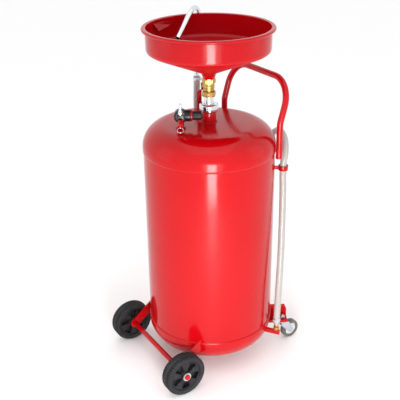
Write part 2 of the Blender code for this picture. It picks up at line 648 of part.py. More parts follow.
def wheel_bracket(side, label):
    """Flat bar from the tank's lower seam out to the axle."""
    axle = Vector((WHEEL_Y, WHEEL_R))
    toward = Vector((0.790, 0.613)).normalized()
    across = Vector((-toward.y, toward.x))
    outline = []
    for step in range(9):
        angle = math.radians(90 + 180 * step / 8)
        outline.append(axle + (toward * math.cos(angle) + across * math.sin(angle)) * (BAR_W / 2))
    outline.append(axle + toward * 0.110 - across * (BAR_W / 2))
    outline.append(axle + toward * 0.110 + across * (BAR_W / 2))
    middle = BRACKET_X * side
    bar = slab([tuple(point) for point in outline], middle - BAR_T / 2, middle + BAR_T / 2, IN_YZ)
    axle_at = Matrix.Translation((0, WHEEL_Y, WHEEL_R)) @ SIDE_ON
    hole = rod(AXLE_R + GAP, middle - 0.02, middle + 0.02, 16, axle_at)
    name = "wheel_bracket_" + label
    finish(name, shaped(name, bar, [], [tank_envelope(), hole]), RED)


def axle():
    """Round bar that both wheels turn on."""
    end = WHEEL_X + WHEEL_W / 2 + 0.0065
    place = Matrix.Translation((0, WHEEL_Y, WHEEL_R)) @ SIDE_ON
    finish("axle_rod", to_mesh("axle_rod", rod(AXLE_R, -end, end, 20, place, 0.0015)), RED)


def caster(side, label, swivel, spin):
    """Swivel caster on its folded bracket: bracket, stem with bearing cup, nut, fork, bolt and wheel."""
    stem_at = Matrix.Translation((CASTER_X * side, CASTER_Y, 0))
    outward = math.atan2(CASTER_Y, CASTER_X)
    frame = stem_at @ Matrix.Rotation(outward if side > 0 else math.pi - outward, 4, "Z")
    plate_top = CASTER_PLATE + 0.003
    tray = [(-0.0225, CASTER_PLATE), (0.0190, CASTER_PLATE), (0.0190, 0.126), (0.0160, 0.126),
            (0.0160, plate_top), (-0.0195, plate_top), (-0.0195, plate_top + 0.006),
            (-0.0225, plate_top + 0.006)]
    folded = slab([(v * side, z) for v, z in tray], -0.085, 0.0150, frame @ IN_YZ)
    corner = slab([(0.0150, 0.108), (0.0150, 0.127), (0.0080, 0.127)], -0.03, 0.03, frame @ IN_XZ)
    hole = rod(0.0055, CASTER_PLATE - 0.01, plate_top + 0.01, 16, stem_at)
    name = "caster_bracket_" + label
    finish(name, shaped(name, folded, [], [tank_envelope(), hole, corner]), RED)

    cup = turned([(0.0, 0.0742), (0.0150, 0.0742), (0.0165, 0.0757), (0.0165, CASTER_PLATE - 0.0018),
                  (0.0150, CASTER_PLATE - GAP), (0.0050, CASTER_PLATE - GAP), (0.0050, 0.0950), (0.0042, 0.0960),
                  (0.0, 0.0960)], 20, stem_at)
    finish("caster_stem_" + label, to_mesh("caster_stem_" + label, cup), ZINC)
    nut = hex_ring(0.0165, 0.0053, plate_top + GAP, plate_top + 0.0080, stem_at)
    finish("caster_nut_" + label, to_mesh("caster_nut_" + label, nut), ZINC)

    crown = rod(0.0160, 0.0705, 0.0739, 20)
    cheek = [(-0.0140, 0.0710), (-0.0140, 0.0640), (0.0230, 0.0235), (0.0290, 0.0215), (0.0370, 0.0235),
             (0.0395, 0.0300), (0.0370, 0.0400), (0.0150, 0.0710)]
    sides = [slab(cheek, 0.0130, 0.0150, IN_YZ), slab(cheek, -0.0150, -0.0130, IN_YZ)]
    bridge = block((-0.0150, -0.0138, 0.0690), (0.0150, 0.0148, 0.0722))
    bore = rod(0.0043, -0.03, 0.03, 12, Matrix.Translation((0, CASTER_TRAIL, CASTER_R)) @ SIDE_ON)
    name = "caster_fork_" + label
    finish(name, shaped(name, crown, [bridge] + sides, [bore]), ZINC, swivel)
    bolt_at = Matrix.Translation((0, CASTER_TRAIL, CASTER_R)) @ SIDE_ON
    bolt = turned([(0.0, -0.0190), (0.0060, -0.0190), (0.0060, -0.0153), (0.0040, -0.0153), (0.0040, 0.0153),
                   (0.0060, 0.0153), (0.0060, 0.0190), (0.0, 0.0190)], 12, bolt_at)
    finish("caster_bolt_" + label, to_mesh("caster_bolt_" + label, bolt), ZINC, swivel)

    half = CASTER_W / 2
    tyre = turned([(0.0215, -half), (0.0290, -half), (CASTER_R, -half + 0.0030), (CASTER_R, half - 0.0030),
                   (0.0290, half), (0.0215, half)], 24, SIDE_ON)
    finish("caster_tyre_" + label, to_mesh("caster_tyre_" + label, tyre), GREY, spin)
    hub = turned([(0.0043, -0.0125), (0.0085, -0.0125), (0.0085, -0.0070), (0.0212, -0.0070), (0.0212, 0.0070),
                  (0.0085, 0.0070), (0.0085, 0.0125), (0.0043, 0.0125)], 16, SIDE_ON)
    finish("caster_hub_" + label, to_mesh("caster_hub_" + label, hub), NYLON, spin)


def push_handle():
    """Bent tube welded to the tank's shoulder, its upper part leaning back."""
    back, top = HANDLE_TOP
    corners = [(HANDLE_X, HANDLE_Y, 0.686), (HANDLE_X, HANDLE_Y, 0.795), (HANDLE_X, back, top),
               (-HANDLE_X, back, top), (-HANDLE_X, HANDLE_Y, 0.795), (-HANDLE_X, HANDLE_Y, 0.686)]
    bar = along(rounded(corners, (0.060, 0.075, 0.075, 0.060), 3), HANDLE_R, HANDLE_R - 0.0015, 10)
    finish("handle", to_mesh("handle", bar), RED)


# ---------------------------------------------------------------- assembly
tank()
lock_collar()
bowl_carriage = pivot("bowl_carriage", (0, 0, 0))
valve_pivot = pivot("valve_pivot", (0, 0, VALVE_Z))
valve_pivot.parent = bowl_carriage
lift_tube(bowl_carriage)
valve(bowl_carriage, valve_pivot)
bowl(bowl_carriage)
drip_plate(bowl_carriage)
hook = along(smooth_route(HOOK_ROUTE, 0.016), HOOK_R, HOOK_R - 0.0018, 8)
finish("hook_nozzle", to_mesh("hook_nozzle", hook), CHROME, bowl_carriage)
clamp_ring("hose_clamp_upper", (-0.187, 0.075, 0.863), bowl_carriage, math.radians(35))

drain_hose()
hose_fittings()

regulator_seat = pivot("regulator_seat", REG_CENTRE, REG_TURN)
knob_pivot = pivot("knob_pivot", REG_CENTRE, REG_TURN)
lock_ring_pivot = pivot("lock_ring_pivot", REG_CENTRE, REG_TURN)
pull_pivot = pivot("pull_pivot", REG_CENTRE, 0.0)
pull_pivot.matrix_world = Matrix.Translation(REG_CENTRE) @ Matrix.Rotation(REG_TURN, 4, "Z") @ safety_frame()
air_inlet(regulator_seat, knob_pivot, lock_ring_pivot, pull_pivot)

axle()
push_handle()
for sign, tag in ((-1, "left"), (1, "right")):
    wheel_pivot = pivot("wheel_pivot_" + tag, (WHEEL_X * sign, WHEEL_Y, WHEEL_R))
    wheel(sign, tag, wheel_pivot)
    wheel_bracket(sign, tag)
    swivel_pivot = pivot("swivel_pivot_" + tag, (CASTER_X * sign, CASTER_Y, 0))
    roll_pivot = pivot("roll_pivot_" + tag, (0, CASTER_TRAIL, CASTER_R))
    roll_pivot.parent = swivel_pivot
    caster(sign, tag, swivel_pivot, roll_pivot)
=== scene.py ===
"""Looks of the portable waste-oil drainer: a red steel tank on wheels under a height-adjustable catch bowl."""
import json
import math

import bmesh
import bpy
import numpy as np
from mathutils import Matrix, Vector

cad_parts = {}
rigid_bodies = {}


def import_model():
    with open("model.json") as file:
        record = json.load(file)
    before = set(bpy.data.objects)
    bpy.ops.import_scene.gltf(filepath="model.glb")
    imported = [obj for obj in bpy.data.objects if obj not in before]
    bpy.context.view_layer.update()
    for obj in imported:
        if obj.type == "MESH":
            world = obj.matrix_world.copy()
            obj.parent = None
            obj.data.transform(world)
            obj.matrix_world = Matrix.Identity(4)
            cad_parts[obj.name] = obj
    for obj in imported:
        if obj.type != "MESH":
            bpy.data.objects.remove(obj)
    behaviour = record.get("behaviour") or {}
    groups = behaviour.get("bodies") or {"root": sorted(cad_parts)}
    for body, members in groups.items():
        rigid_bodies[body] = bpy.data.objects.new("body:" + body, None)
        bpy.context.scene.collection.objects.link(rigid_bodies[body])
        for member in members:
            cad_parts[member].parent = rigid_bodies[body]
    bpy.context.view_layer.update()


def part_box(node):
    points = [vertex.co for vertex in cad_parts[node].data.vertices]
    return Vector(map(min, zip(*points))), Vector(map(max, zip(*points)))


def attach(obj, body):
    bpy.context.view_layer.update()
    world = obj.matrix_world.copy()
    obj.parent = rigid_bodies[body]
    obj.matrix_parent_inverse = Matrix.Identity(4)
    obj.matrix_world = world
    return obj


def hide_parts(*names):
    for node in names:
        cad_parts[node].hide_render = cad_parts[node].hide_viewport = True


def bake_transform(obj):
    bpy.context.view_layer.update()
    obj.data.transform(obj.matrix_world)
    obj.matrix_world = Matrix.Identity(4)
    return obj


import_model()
scene = bpy.context.scene


# ================================================================ view
# The eye stands a little over two metres away, above the bowl, and looks down at the tank's middle
# from between the wheels and the outlet.
VIEW_FROM = (1.758, -1.127, 1.522)
VIEW_TURN = 1.015          # radians, heading of the view in plan
VIEW_DIP = 0.4426          # radians below level
VIEW_ROLL = -0.0125
VIEW_LENS = 66.94          # millimetres

lens = bpy.data.cameras.new("view")
lens.sensor_width = 36.0
lens.lens = VIEW_LENS
camera = bpy.data.objects.new("view", lens)
scene.collection.objects.link(camera)
camera.matrix_world = (
    Matrix.Translation(VIEW_FROM)
    @ Matrix.Rotation(VIEW_TURN, 4, "Z")
    @ Matrix.Rotation(math.pi / 2 - VIEW_DIP, 4, "X")
    @ Matrix.Rotation(VIEW_ROLL, 4, "Z")
)
scene.camera = camera
scene.view_settings.view_transform = "Standard"


# ================================================================ drain hose
# Clear PVC hose with a white polyester braid, 21 mm outside. It rises from the outlet through the clip at the
# tank's shoulder, arches over, hangs in a loop behind the tank and climbs to the hooked nozzle.
HOSE_DIAMETER = 0.021
HOSE_LENGTH = 1.54
HOSE_POINTS = 420          # along its middle line
BRAID_STARTS = 12          # yarns each way round the hose
BRAID_PITCH = 84.0         # turns of the yarn pattern in a metre of hose

hose_route = np.array([
    (0.1872, 0.1336, 0.1313), (0.1870, 0.1340, 0.1650), (0.1815, 0.1410, 0.2500), (0.1670, 0.1560, 0.3600),
    (0.1460, 0.1730, 0.4700), (0.1290, 0.1850, 0.5600), (0.1210, 0.1889, 0.6150), (0.1208, 0.1891, 0.6500),
    (0.1140, 0.2000, 0.6880), (0.0910, 0.2144, 0.7160), (0.0543, 0.2285, 0.7270), (0.0149, 0.2385, 0.7155),
    (-0.0163, 0.2418, 0.6850), (-0.0313, 0.2373, 0.6430), (-0.0370, 0.2365, 0.5900), (-0.0430, 0.2370, 0.5300),
    (-0.0563, 0.2386, 0.4850), (-0.0875, 0.2264, 0.4520), (-0.1304, 0.2013, 0.4400), (-0.1699, 0.1711, 0.4520),
    (-0.1938, 0.1459, 0.4850), (-0.2000, 0.1330, 0.5300), (-0.2040, 0.1200, 0.5850), (-0.2060, 0.1040, 0.6400),
    (-0.2040, 0.0900, 0.7000), (-0.1975, 0.0800, 0.7550), (-0.1905, 0.0755, 0.8020), (-0.1875, 0.0748, 0.8350),
    (-0.1870, 0.0750, 0.8712),
])


def flowing(route, count):
    """Points evenly spaced on the Catmull-Rom curve through the route.

    Between knots b and c, with a before and d after, the point at t is half of
    2b + (c - a)t + (2a - 5b + 4c - d)t^2 + (3b - a - 3c + d)t^3.
    """
    knots = np.vstack([2 * route[0] - route[1], route, 2 * route[-1] - route[-2]])
    a, b, c, d = (knots[i:len(knots) - 3 + i, None, :] for i in range(4))
    t = np.linspace(0, 1, 32, endpoint=False)[None, :, None]
    fine = 0.5 * (2 * b + (c - a) * t + (2 * a - 5 * b + 4 * c - d) * t**2 + (3 * b - a - 3 * c + d) * t**3)
    fine = np.vstack([fine.reshape(-1, 3), route[-1:]])
    along = np.concatenate([[0], np.cumsum(np.linalg.norm(np.diff(fine, axis=0), axis=1))])
    even = np.linspace(0, along[-1], count)
    return np.stack([np.interp(even, along, fine[:, i]) for i in range(3)], axis=1)


def skin(name, grid, loop_rows=False, uv=None):
    """A closed quad skin on a grid of points (rows, columns, 3).

    Quad (i, j) joins rows i and i+1 and columns j and j+1. The last column meets the first, and with loop_rows
    the last row meets the first. A row whose points coincide closes to a pole. Faces end up pointing outwards.
    """
    rows, columns = grid.shape[:2]
    index = np.arange(rows * columns).reshape(rows, columns)
    index = np.concatenate([index, index[:, :1]], axis=1)
    if loop_rows:
        index = np.concatenate([index, index[:1]], axis=0)
    quads = np.stack([index[:-1, :-1], index[:-1, 1:], index[1:, 1:], index[1:, :-1]], axis=-1).reshape(-1, 4)
    mesh = bpy.data.meshes.new(name)
    mesh.from_pydata(grid.reshape(-1, 3).tolist(), [], quads.tolist())
    if uv is not None:
        around, length = uv
        turn = np.arange(columns + 1) / columns * around
        run = np.linspace(0, length, rows)
        low = np.stack(np.meshgrid(run, turn, indexing="ij"), axis=-1)[..., ::-1]
        corners = np.stack([low[:-1, :-1], low[:-1, 1:], low[1:, 1:], low[1:, :-1]], axis=2)
        mesh.uv_layers.new(name="along").data.foreach_set("uv", corners.reshape(-1))
    shape = bmesh.new()
    shape.from_mesh(mesh)
    bmesh.ops.remove_doubles(shape, verts=shape.verts, dist=1e-6)
    bmesh.ops.recalc_face_normals(shape, faces=shape.faces)
    shape.to_mesh(mesh)
    shape.free()
    mesh.shade_smooth()
    mesh.set_sharp_from_angle(angle=math.radians(50))
    piece = bpy.data.objects.new(name, mesh)
    scene.collection.objects.link(piece)
    return piece


def tube(name, path, radius, bore=0.0, toward=(0.0, 0.0, 1.0), sides=24, uv=None):
    """A round bar, or a tube with this bore, carried along a path.

    Each ring stands square to the path: its first direction is `toward` less its part along the path, and its
    second is their cross product. The rings run out along the outside and, in a tube, back along the bore.
    """
    heading = np.gradient(path, axis=0)
    heading /= np.linalg.norm(heading, axis=1, keepdims=True)
    guide = np.broadcast_to(np.asarray(toward, float), path.shape)
    first = guide - (guide * heading).sum(axis=1, keepdims=True) * heading
    first /= np.linalg.norm(first, axis=1, keepdims=True)
    second = np.cross(heading, first)
    turn = np.arange(sides) / sides * math.tau
    ring = np.cos(turn)[None, :, None] * first[:, None] + np.sin(turn)[None, :, None] * second[:, None]
    radii = np.broadcast_to(np.asarray(radius, float), len(path))[:, None, None]
    outer = path[:, None] + ring * radii
    if bore:
        return skin(name, np.concatenate([outer, (path[:, None] + ring * bore)[::-1]]), loop_rows=True, uv=uv)
    tips = np.broadcast_to(path[[0, -1], None], (2, sides, 3))
    return skin(name, np.concatenate([tips[:1], outer, tips[1:]]), uv=uv)


hose_path = flowing(hose_route, HOSE_POINTS)
hose = tube("clear_hose", hose_path, HOSE_DIAMETER / 2, toward=(0.3, 0.5, 0.05), sides=32,
            uv=(1.0, HOSE_LENGTH * (HOSE_POINTS + 2) / (HOSE_POINTS - 1)))
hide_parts("drain_hose")
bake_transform(hose)


def clear_braided_pvc(name):
    """Milky clear PVC over two crossing sets of white yarns, from the hose's own length-and-turn map."""
    made = bpy.data.materials.new(name)
    made.use_nodes = True
    tree = made.node_tree
    tree.nodes.clear()
    output = tree.nodes.new("ShaderNodeOutputMaterial")
    output.label = "hose surface"
    shader = tree.nodes.new("ShaderNodeBsdfPrincipled")
    shader.label = "PVC wall"
    place = tree.nodes.new("ShaderNodeUVMap")
    place.label = "turn and length of the hose"
    split = tree.nodes.new("ShaderNodeSeparateXYZ")
    split.label = "turn, length"
    starts = tree.nodes.new("ShaderNodeMath")
    starts.label = "yarns round the hose"
    pitch = tree.nodes.new("ShaderNodeMath")
    pitch.label = "yarn turns along the hose"
    right = tree.nodes.new("ShaderNodeMath")
    right.label = "right-hand lay"
    left = tree.nodes.new("ShaderNodeMath")
    left.label = "left-hand lay"
    right_wave = tree.nodes.new("ShaderNodeMath")
    right_wave.label = "right-hand yarns"
    left_wave = tree.nodes.new("ShaderNodeMath")
    left_wave.label = "left-hand yarns"
    nearest = tree.nodes.new("ShaderNodeMath")
    nearest.label = "nearest yarn"
    yarn = tree.nodes.new("ShaderNodeMapRange")
    yarn.label = "yarn width"
    spot = tree.nodes.new("ShaderNodeTexCoord")
    spot.label = "place on the hose"
    film = tree.nodes.new("ShaderNodeTexNoise")
    film.label = "oil film left inside"
    wall_tone = tree.nodes.new("ShaderNodeMix")
    wall_tone.label = "clear wall, slightly yellowed where a film is left"
    tone = tree.nodes.new("ShaderNodeMix")
    tone.label = "white yarn over the wall"
    gloss = tree.nodes.new("ShaderNodeMapRange")
    gloss.label = "duller where the yarns lift the skin"
    relief = tree.nodes.new("ShaderNodeBump")
    relief.label = "yarns raise the skin"
    for number, node in enumerate(tree.nodes):
        node.location = (240 * (number % 7), -280 * (number // 7))
    for title, members in (
        ("braid", (place, split, starts, pitch, right, left, right_wave, left_wave, nearest, yarn)),
        ("colour", (spot, film, wall_tone, tone)),
        ("surface", (gloss, relief)),
    ):
        group = tree.nodes.new("NodeFrame")
        group.label = title
        for node in members:
            node.parent = group
    shader.inputs["IOR"].default_value = 1.52
    shader.inputs["Transmission Weight"].default_value = 0.15
    shader.inputs["Coat Weight"].default_value = 0.5
    shader.inputs["Coat Roughness"].default_value = 0.08
    place.uv_map = "along"
    starts.operation = "MULTIPLY"
    starts.inputs[1].default_value = BRAID_STARTS
    pitch.operation = "MULTIPLY"
    pitch.inputs[1].default_value = BRAID_PITCH * BRAID_STARTS / 4
    right.operation = "ADD"
    left.operation = "SUBTRACT"
    right_wave.operation = "PINGPONG"
    right_wave.inputs[1].default_value = 0.5
    left_wave.operation = "PINGPONG"
    left_wave.inputs[1].default_value = 0.5
    nearest.operation = "MINIMUM"
    yarn.inputs["From Min"].default_value = 0.10
    yarn.inputs["From Max"].default_value = 0.17
    yarn.inputs["To Min"].default_value = 1.0
    yarn.inputs["To Max"].default_value = 0.0
    film.inputs["Scale"].default_value = 22.0
    film.inputs["Detail"].default_value = 3.0
    wall_tone.data_type = "RGBA"
    wall_tone.inputs["A"].default_value = (0.34, 0.30, 0.27, 1.0)
    wall_tone.inputs["B"].default_value = (0.24, 0.20, 0.17, 1.0)
    tone.data_type = "RGBA"
    tone.inputs["B"].default_value = (0.66, 0.64, 0.62, 1.0)
    gloss.inputs["To Min"].default_value = 0.16
    gloss.inputs["To Max"].default_value = 0.34
    relief.inputs["Strength"].default_value = 0.55
    relief.inputs["Distance"].default_value = 0.0006
    tree.links.new(place.outputs["UV"], split.inputs["Vector"])
    tree.links.new(split.outputs["X"], starts.inputs[0])
    tree.links.new(split.outputs["Y"], pitch.inputs[0])
    tree.links.new(starts.outputs[0], right.inputs[0])
    tree.links.new(pitch.outputs[0], right.inputs[1])
    tree.links.new(starts.outputs[0], left.inputs[0])
    tree.links.new(pitch.outputs[0], left.inputs[1])
    tree.links.new(right.outputs[0], right_wave.inputs[0])
    tree.links.new(left.outputs[0], left_wave.inputs[0])
    tree.links.new(right_wave.outputs[0], nearest.inputs[0])
    tree.links.new(left_wave.outputs[0], nearest.inputs[1])
    tree.links.new(nearest.outputs[0], yarn.inputs["Value"])
    tree.links.new(spot.outputs["Object"], film.inputs["Vector"])
    tree.links.new(film.outputs["Fac"], wall_tone.inputs["Factor"])
    tree.links.new(wall_tone.outputs["Result"], tone.inputs["A"])
    tree.links.new(yarn.outputs["Result"], tone.inputs["Factor"])
    tree.links.new(yarn.outputs["Result"], gloss.inputs["Value"])
    tree.links.new(yarn.outputs["Result"], relief.inputs["Height"])
    tree.links.new(tone.outputs["Result"], shader.inputs["Base Color"])
    tree.links.new(gloss.outputs["Result"], shader.inputs["Roughness"])
    tree.links.new(relief.outputs["Normal"], shader.inputs["Normal"])
    tree.links.new(shader.outputs["BSDF"], output.inputs["Surface"])
    return made


hose.data.materials.append(clear_braided_pvc("clear_braided_pvc"))


# ================================================================ light and floor
# A pale studio floor under a white room. One tall panel stands low in front, and shows as the bright band down
# the tank and the bowl; a wide panel overhead and two weak ones at the sides keep the shadows soft.
room = bpy.data.worlds.new("white_room")
room.use_nodes = True
room.node_tree.nodes["Background"].inputs["Color"].default_value = (1.0, 1.0, 1.0, 1.0)
room.node_tree.nodes["Background"].inputs["Strength"].default_value = 1.04
scene.world = room

FLOOR_HALF = 30.0
floor_mesh = bpy.data.meshes.new("studio_floor")
floor_mesh.from_pydata([(-FLOOR_HALF, -FLOOR_HALF, 0), (FLOOR_HALF, -FLOOR_HALF, 0),
                        (FLOOR_HALF, FLOOR_HALF, 0), (-FLOOR_HALF, FLOOR_HALF, 0)], [], [(0, 1, 2, 3)])
floor = bpy.data.objects.new("studio_floor", floor_mesh)
scene.collection.objects.link(floor)

pale = bpy.data.materials.new("pale_floor")
pale.use_nodes = True
floor_tree = pale.node_tree
floor_shader = floor_tree.nodes["Principled BSDF"]
floor_shader.inputs["Roughness"].default_value = 0.55
floor_place = floor_tree.nodes.new("ShaderNodeTexCoord")
floor_place.label = "place on the floor"
floor_place.location = (-700, 0)
floor_cloud = floor_tree.nodes.new("ShaderNodeTexNoise")
floor_cloud.label = "faint clouding of the paper"
floor_cloud.location = (-480, 0)
floor_cloud.inputs["Scale"].default_value = 0.8
floor_tone = floor_tree.nodes.new("ShaderNodeMix")
floor_tone.label = "pale paper"
floor_tone.location = (-240, 0)
floor_tone.data_type = "RGBA"
floor_tone.inputs["A"].default_value = (0.93, 0.93, 0.93, 1.0)
floor_tone.inputs["B"].default_value = (0.95, 0.95, 0.95, 1.0)
floor_tree.links.new(floor_place.outputs["Object"], floor_cloud.inputs["Vector"])
floor_tree.links.new(floor_cloud.outputs["Fac"], floor_tone.inputs["Factor"])
floor_tree.links.new(floor_tone.outputs["Result"], floor_shader.inputs["Base Color"])
floor_mesh.materials.append(pale)

toward_eye = Vector((math.sin(VIEW_TURN), -math.cos(VIEW_TURN), 0.0))
beside_eye = Vector((math.cos(VIEW_TURN), math.sin(VIEW_TURN), 0.0))
panels = (
    ("front_panel", toward_eye * 1.45 + beside_eye * 0.08 + Vector((0, 0, 0.42)), (0.34, 0.75), 16.0),
    ("front_wash", toward_eye * 1.75 + beside_eye * 0.15 + Vector((0, 0, 0.50)), (0.95, 0.90), 5.0),
    ("overhead_panel", toward_eye * 0.6 + Vector((0, 0, 2.90)), (2.4, 2.4), 9.0),
    ("left_panel", beside_eye * -2.4 + toward_eye * 0.4 + Vector((0, 0, 1.3)), (1.2, 2.0), 2.5),
    ("right_panel", beside_eye * 2.4 + toward_eye * 0.2 + Vector((0, 0, 1.3)), (1.2, 2.0), 2.5),
)
for panel_name, panel_place, panel_size, panel_power in panels:
    panel = bpy.data.lights.new(panel_name, "AREA")
    panel.shape = "RECTANGLE"
    panel.size, panel.size_y = panel_size
    panel.energy = panel_power
    holder = bpy.data.objects.new(panel_name, panel)
    holder.location = panel_place
    aim = Vector((0, 0, 0.75)) - panel_place
    holder.rotation_euler = aim.to_track_quat("-Z", "Y").to_euler()
    holder.visible_camera = False
    scene.collection.objects.link(holder)


# ================================================================ tank
# Rolled and welded steel, 400 mm across: a shell tucked into two dished heads whose skirts stand just proud of
# it, with a weld bead round each lap. Sprayed in gloss red enamel, like all the steelwork.
shell_low, shell_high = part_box("tank_shell")
top_low, top_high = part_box("tank_top_head")
TANK_R = top_high[0]
SHELL_R = shell_high[0]
SEAM_HIGH = top_low[2]
SEAM_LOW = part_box("tank_bottom_head")[1][2]
HEAD_SHEET = 0.0020
SHELL_SHEET = 0.0025
SHELL_ROWS = 40
SKIRT = 0.011
KNUCKLE_R = 0.070
CROWN_R = 3.0
NECK_R = 0.0212


def placed(grid, place):
    """A grid of points moved by a matrix: each point times its turn, plus its shift."""
    matrix = np.array(place)
    return grid @ matrix[:3, :3].T + matrix[:3, 3]


def turned(name, profile, steps, place=Matrix(), loop_rows=True):
    """A profile of (radius, height) points spun about Z, then placed: x = r cos t, y = r sin t, z = h."""
    profile = np.asarray(profile, float)
    turn = np.arange(steps) / steps * math.tau
    grid = np.stack([profile[:, :1] * np.cos(turn), profile[:, :1] * np.sin(turn),
                     np.broadcast_to(profile[:, 1:], (len(profile), steps))], axis=-1)
    return skin(name, placed(grid, place), loop_rows=loop_rows)


def eased(corners, radius, steps=4, closed=True):
    """A profile with every corner rounded: near corner C the line follows (1-t)^2 A + 2t(1-t) C + t^2 B.

    A and B lie on the two edges, one radius from C or at 45% of a shorter edge.
    """
    corners = np.asarray(corners, float)
    back = np.roll(corners, 1, axis=0) - corners
    ahead = np.roll(corners, -1, axis=0) - corners
    back_run = np.linalg.norm(back, axis=1, keepdims=True)
    ahead_run = np.linalg.norm(ahead, axis=1, keepdims=True)
    reach = np.minimum(np.minimum(radius, 0.45 * back_run), 0.45 * ahead_run)
    a = corners + back / back_run * reach
    b = corners + ahead / ahead_run * reach
    t = np.linspace(0, 1, steps)[None, :, None]
    bent = (1 - t) ** 2 * a[:, None] + 2 * t * (1 - t) * corners[:, None] + t**2 * b[:, None]
    if closed:
        return bent.reshape(-1, 2)
    return np.vstack([corners[:1], bent[1:-1].reshape(-1, 2), corners[-1:]])


def lathed(name, corners, radius, steps=48, place=Matrix(), ease=4):
    """A turned part from its eased corners: solid where they run from axis to axis, otherwise a ring."""
    solid = corners[0][0] == corners[-1][0] == 0.0
    return turned(name, eased(corners, radius, ease, closed=not solid), steps, place, loop_rows=not solid)


def dished(skin_in, hole):
    """One skin of a dished head, from its skirt's edge to its centre hole, as (radius, height above the seam).

    A straight skirt, then the knuckle's arc, then the crown's arc, each pushed in by skin_in.
    """
    knuckle_at = TANK_R - KNUCKLE_R
    meet = math.asin(knuckle_at / (CROWN_R - KNUCKLE_R))
    rise = math.sqrt((CROWN_R - KNUCKLE_R) ** 2 - knuckle_at**2)
    knuckle = np.linspace(0, math.pi / 2 - meet, 28)
    crown = np.linspace(meet, math.asin(max(hole, 1e-9) / CROWN_R), 14)[1:]
    lip = 0.0008 if skin_in == 0 else 0.0
    skirt = np.array([(TANK_R - skin_in - lip, 0.0), (TANK_R - skin_in, lip), (TANK_R - skin_in, SKIRT * 0.5)])
    bend = np.stack([knuckle_at + (KNUCKLE_R - skin_in) * np.cos(knuckle),
                     SKIRT + (KNUCKLE_R - skin_in) * np.sin(knuckle)], axis=1)
    dome = np.stack([(CROWN_R - skin_in) * np.sin(crown),
                     SKIRT - rise + (CROWN_R - skin_in) * np.cos(crown)], axis=1)
    return np.vstack([skirt, bend, dome])


neck_hole = NECK_R + 0.0003
top_profile = np.vstack([dished(HEAD_SHEET, neck_hole)[::-1], dished(0.0, neck_hole)])
top_head = turned("top_head", top_profile + (0, SEAM_HIGH), 160)
bottom_profile = np.vstack([dished(HEAD_SHEET, 0.0)[::-1], dished(0.0, 0.0)]) * (1, -1)
bottom_profile[0, 0] = bottom_profile[-1, 0] = 0.0
bottom_head = turned("bottom_head", bottom_profile + (0, SEAM_LOW), 160)

shell_rows = np.linspace(shell_low[2], shell_high[2], SHELL_ROWS)
shell_profile = np.vstack([
    np.stack([np.full(SHELL_ROWS, SHELL_R), shell_rows], axis=1),
    np.stack([np.full(SHELL_ROWS, SHELL_R - SHELL_SHEET), shell_rows[::-1]], axis=1)])
shell = turned("rolled_shell", shell_profile, 160)


def bead(name, radius, height, thick, ripple, steps=720):
    """A weld bead: a ring whose thickness swells and shrinks with each ripple the torch left."""
    turn = np.arange(steps) / steps * math.tau
    around = np.arange(10) / 10 * math.tau
    swell = thick * (1 + 0.13 * np.cos(turn * ripple) + 0.06 * np.sin(turn * 7) + 0.04 * np.sin(turn * 19 + 1))
    reach = radius + swell * np.cos(around)[:, None]
    level = height + swell * np.sin(around)[:, None]
    return skin(name, np.stack([reach * np.cos(turn), reach * np.sin(turn), level], axis=-1), loop_rows=True)


seam_beads = [bead("seam_bead_high", SHELL_R, SEAM_HIGH - 0.0006, 0.0011, 200),
              bead("seam_bead_low", SHELL_R, SEAM_LOW + 0.0006, 0.0011, 200),
              bead("neck_bead", NECK_R + 0.0012, top_high[2] + 0.0005, 0.0020, 46, steps=240)]


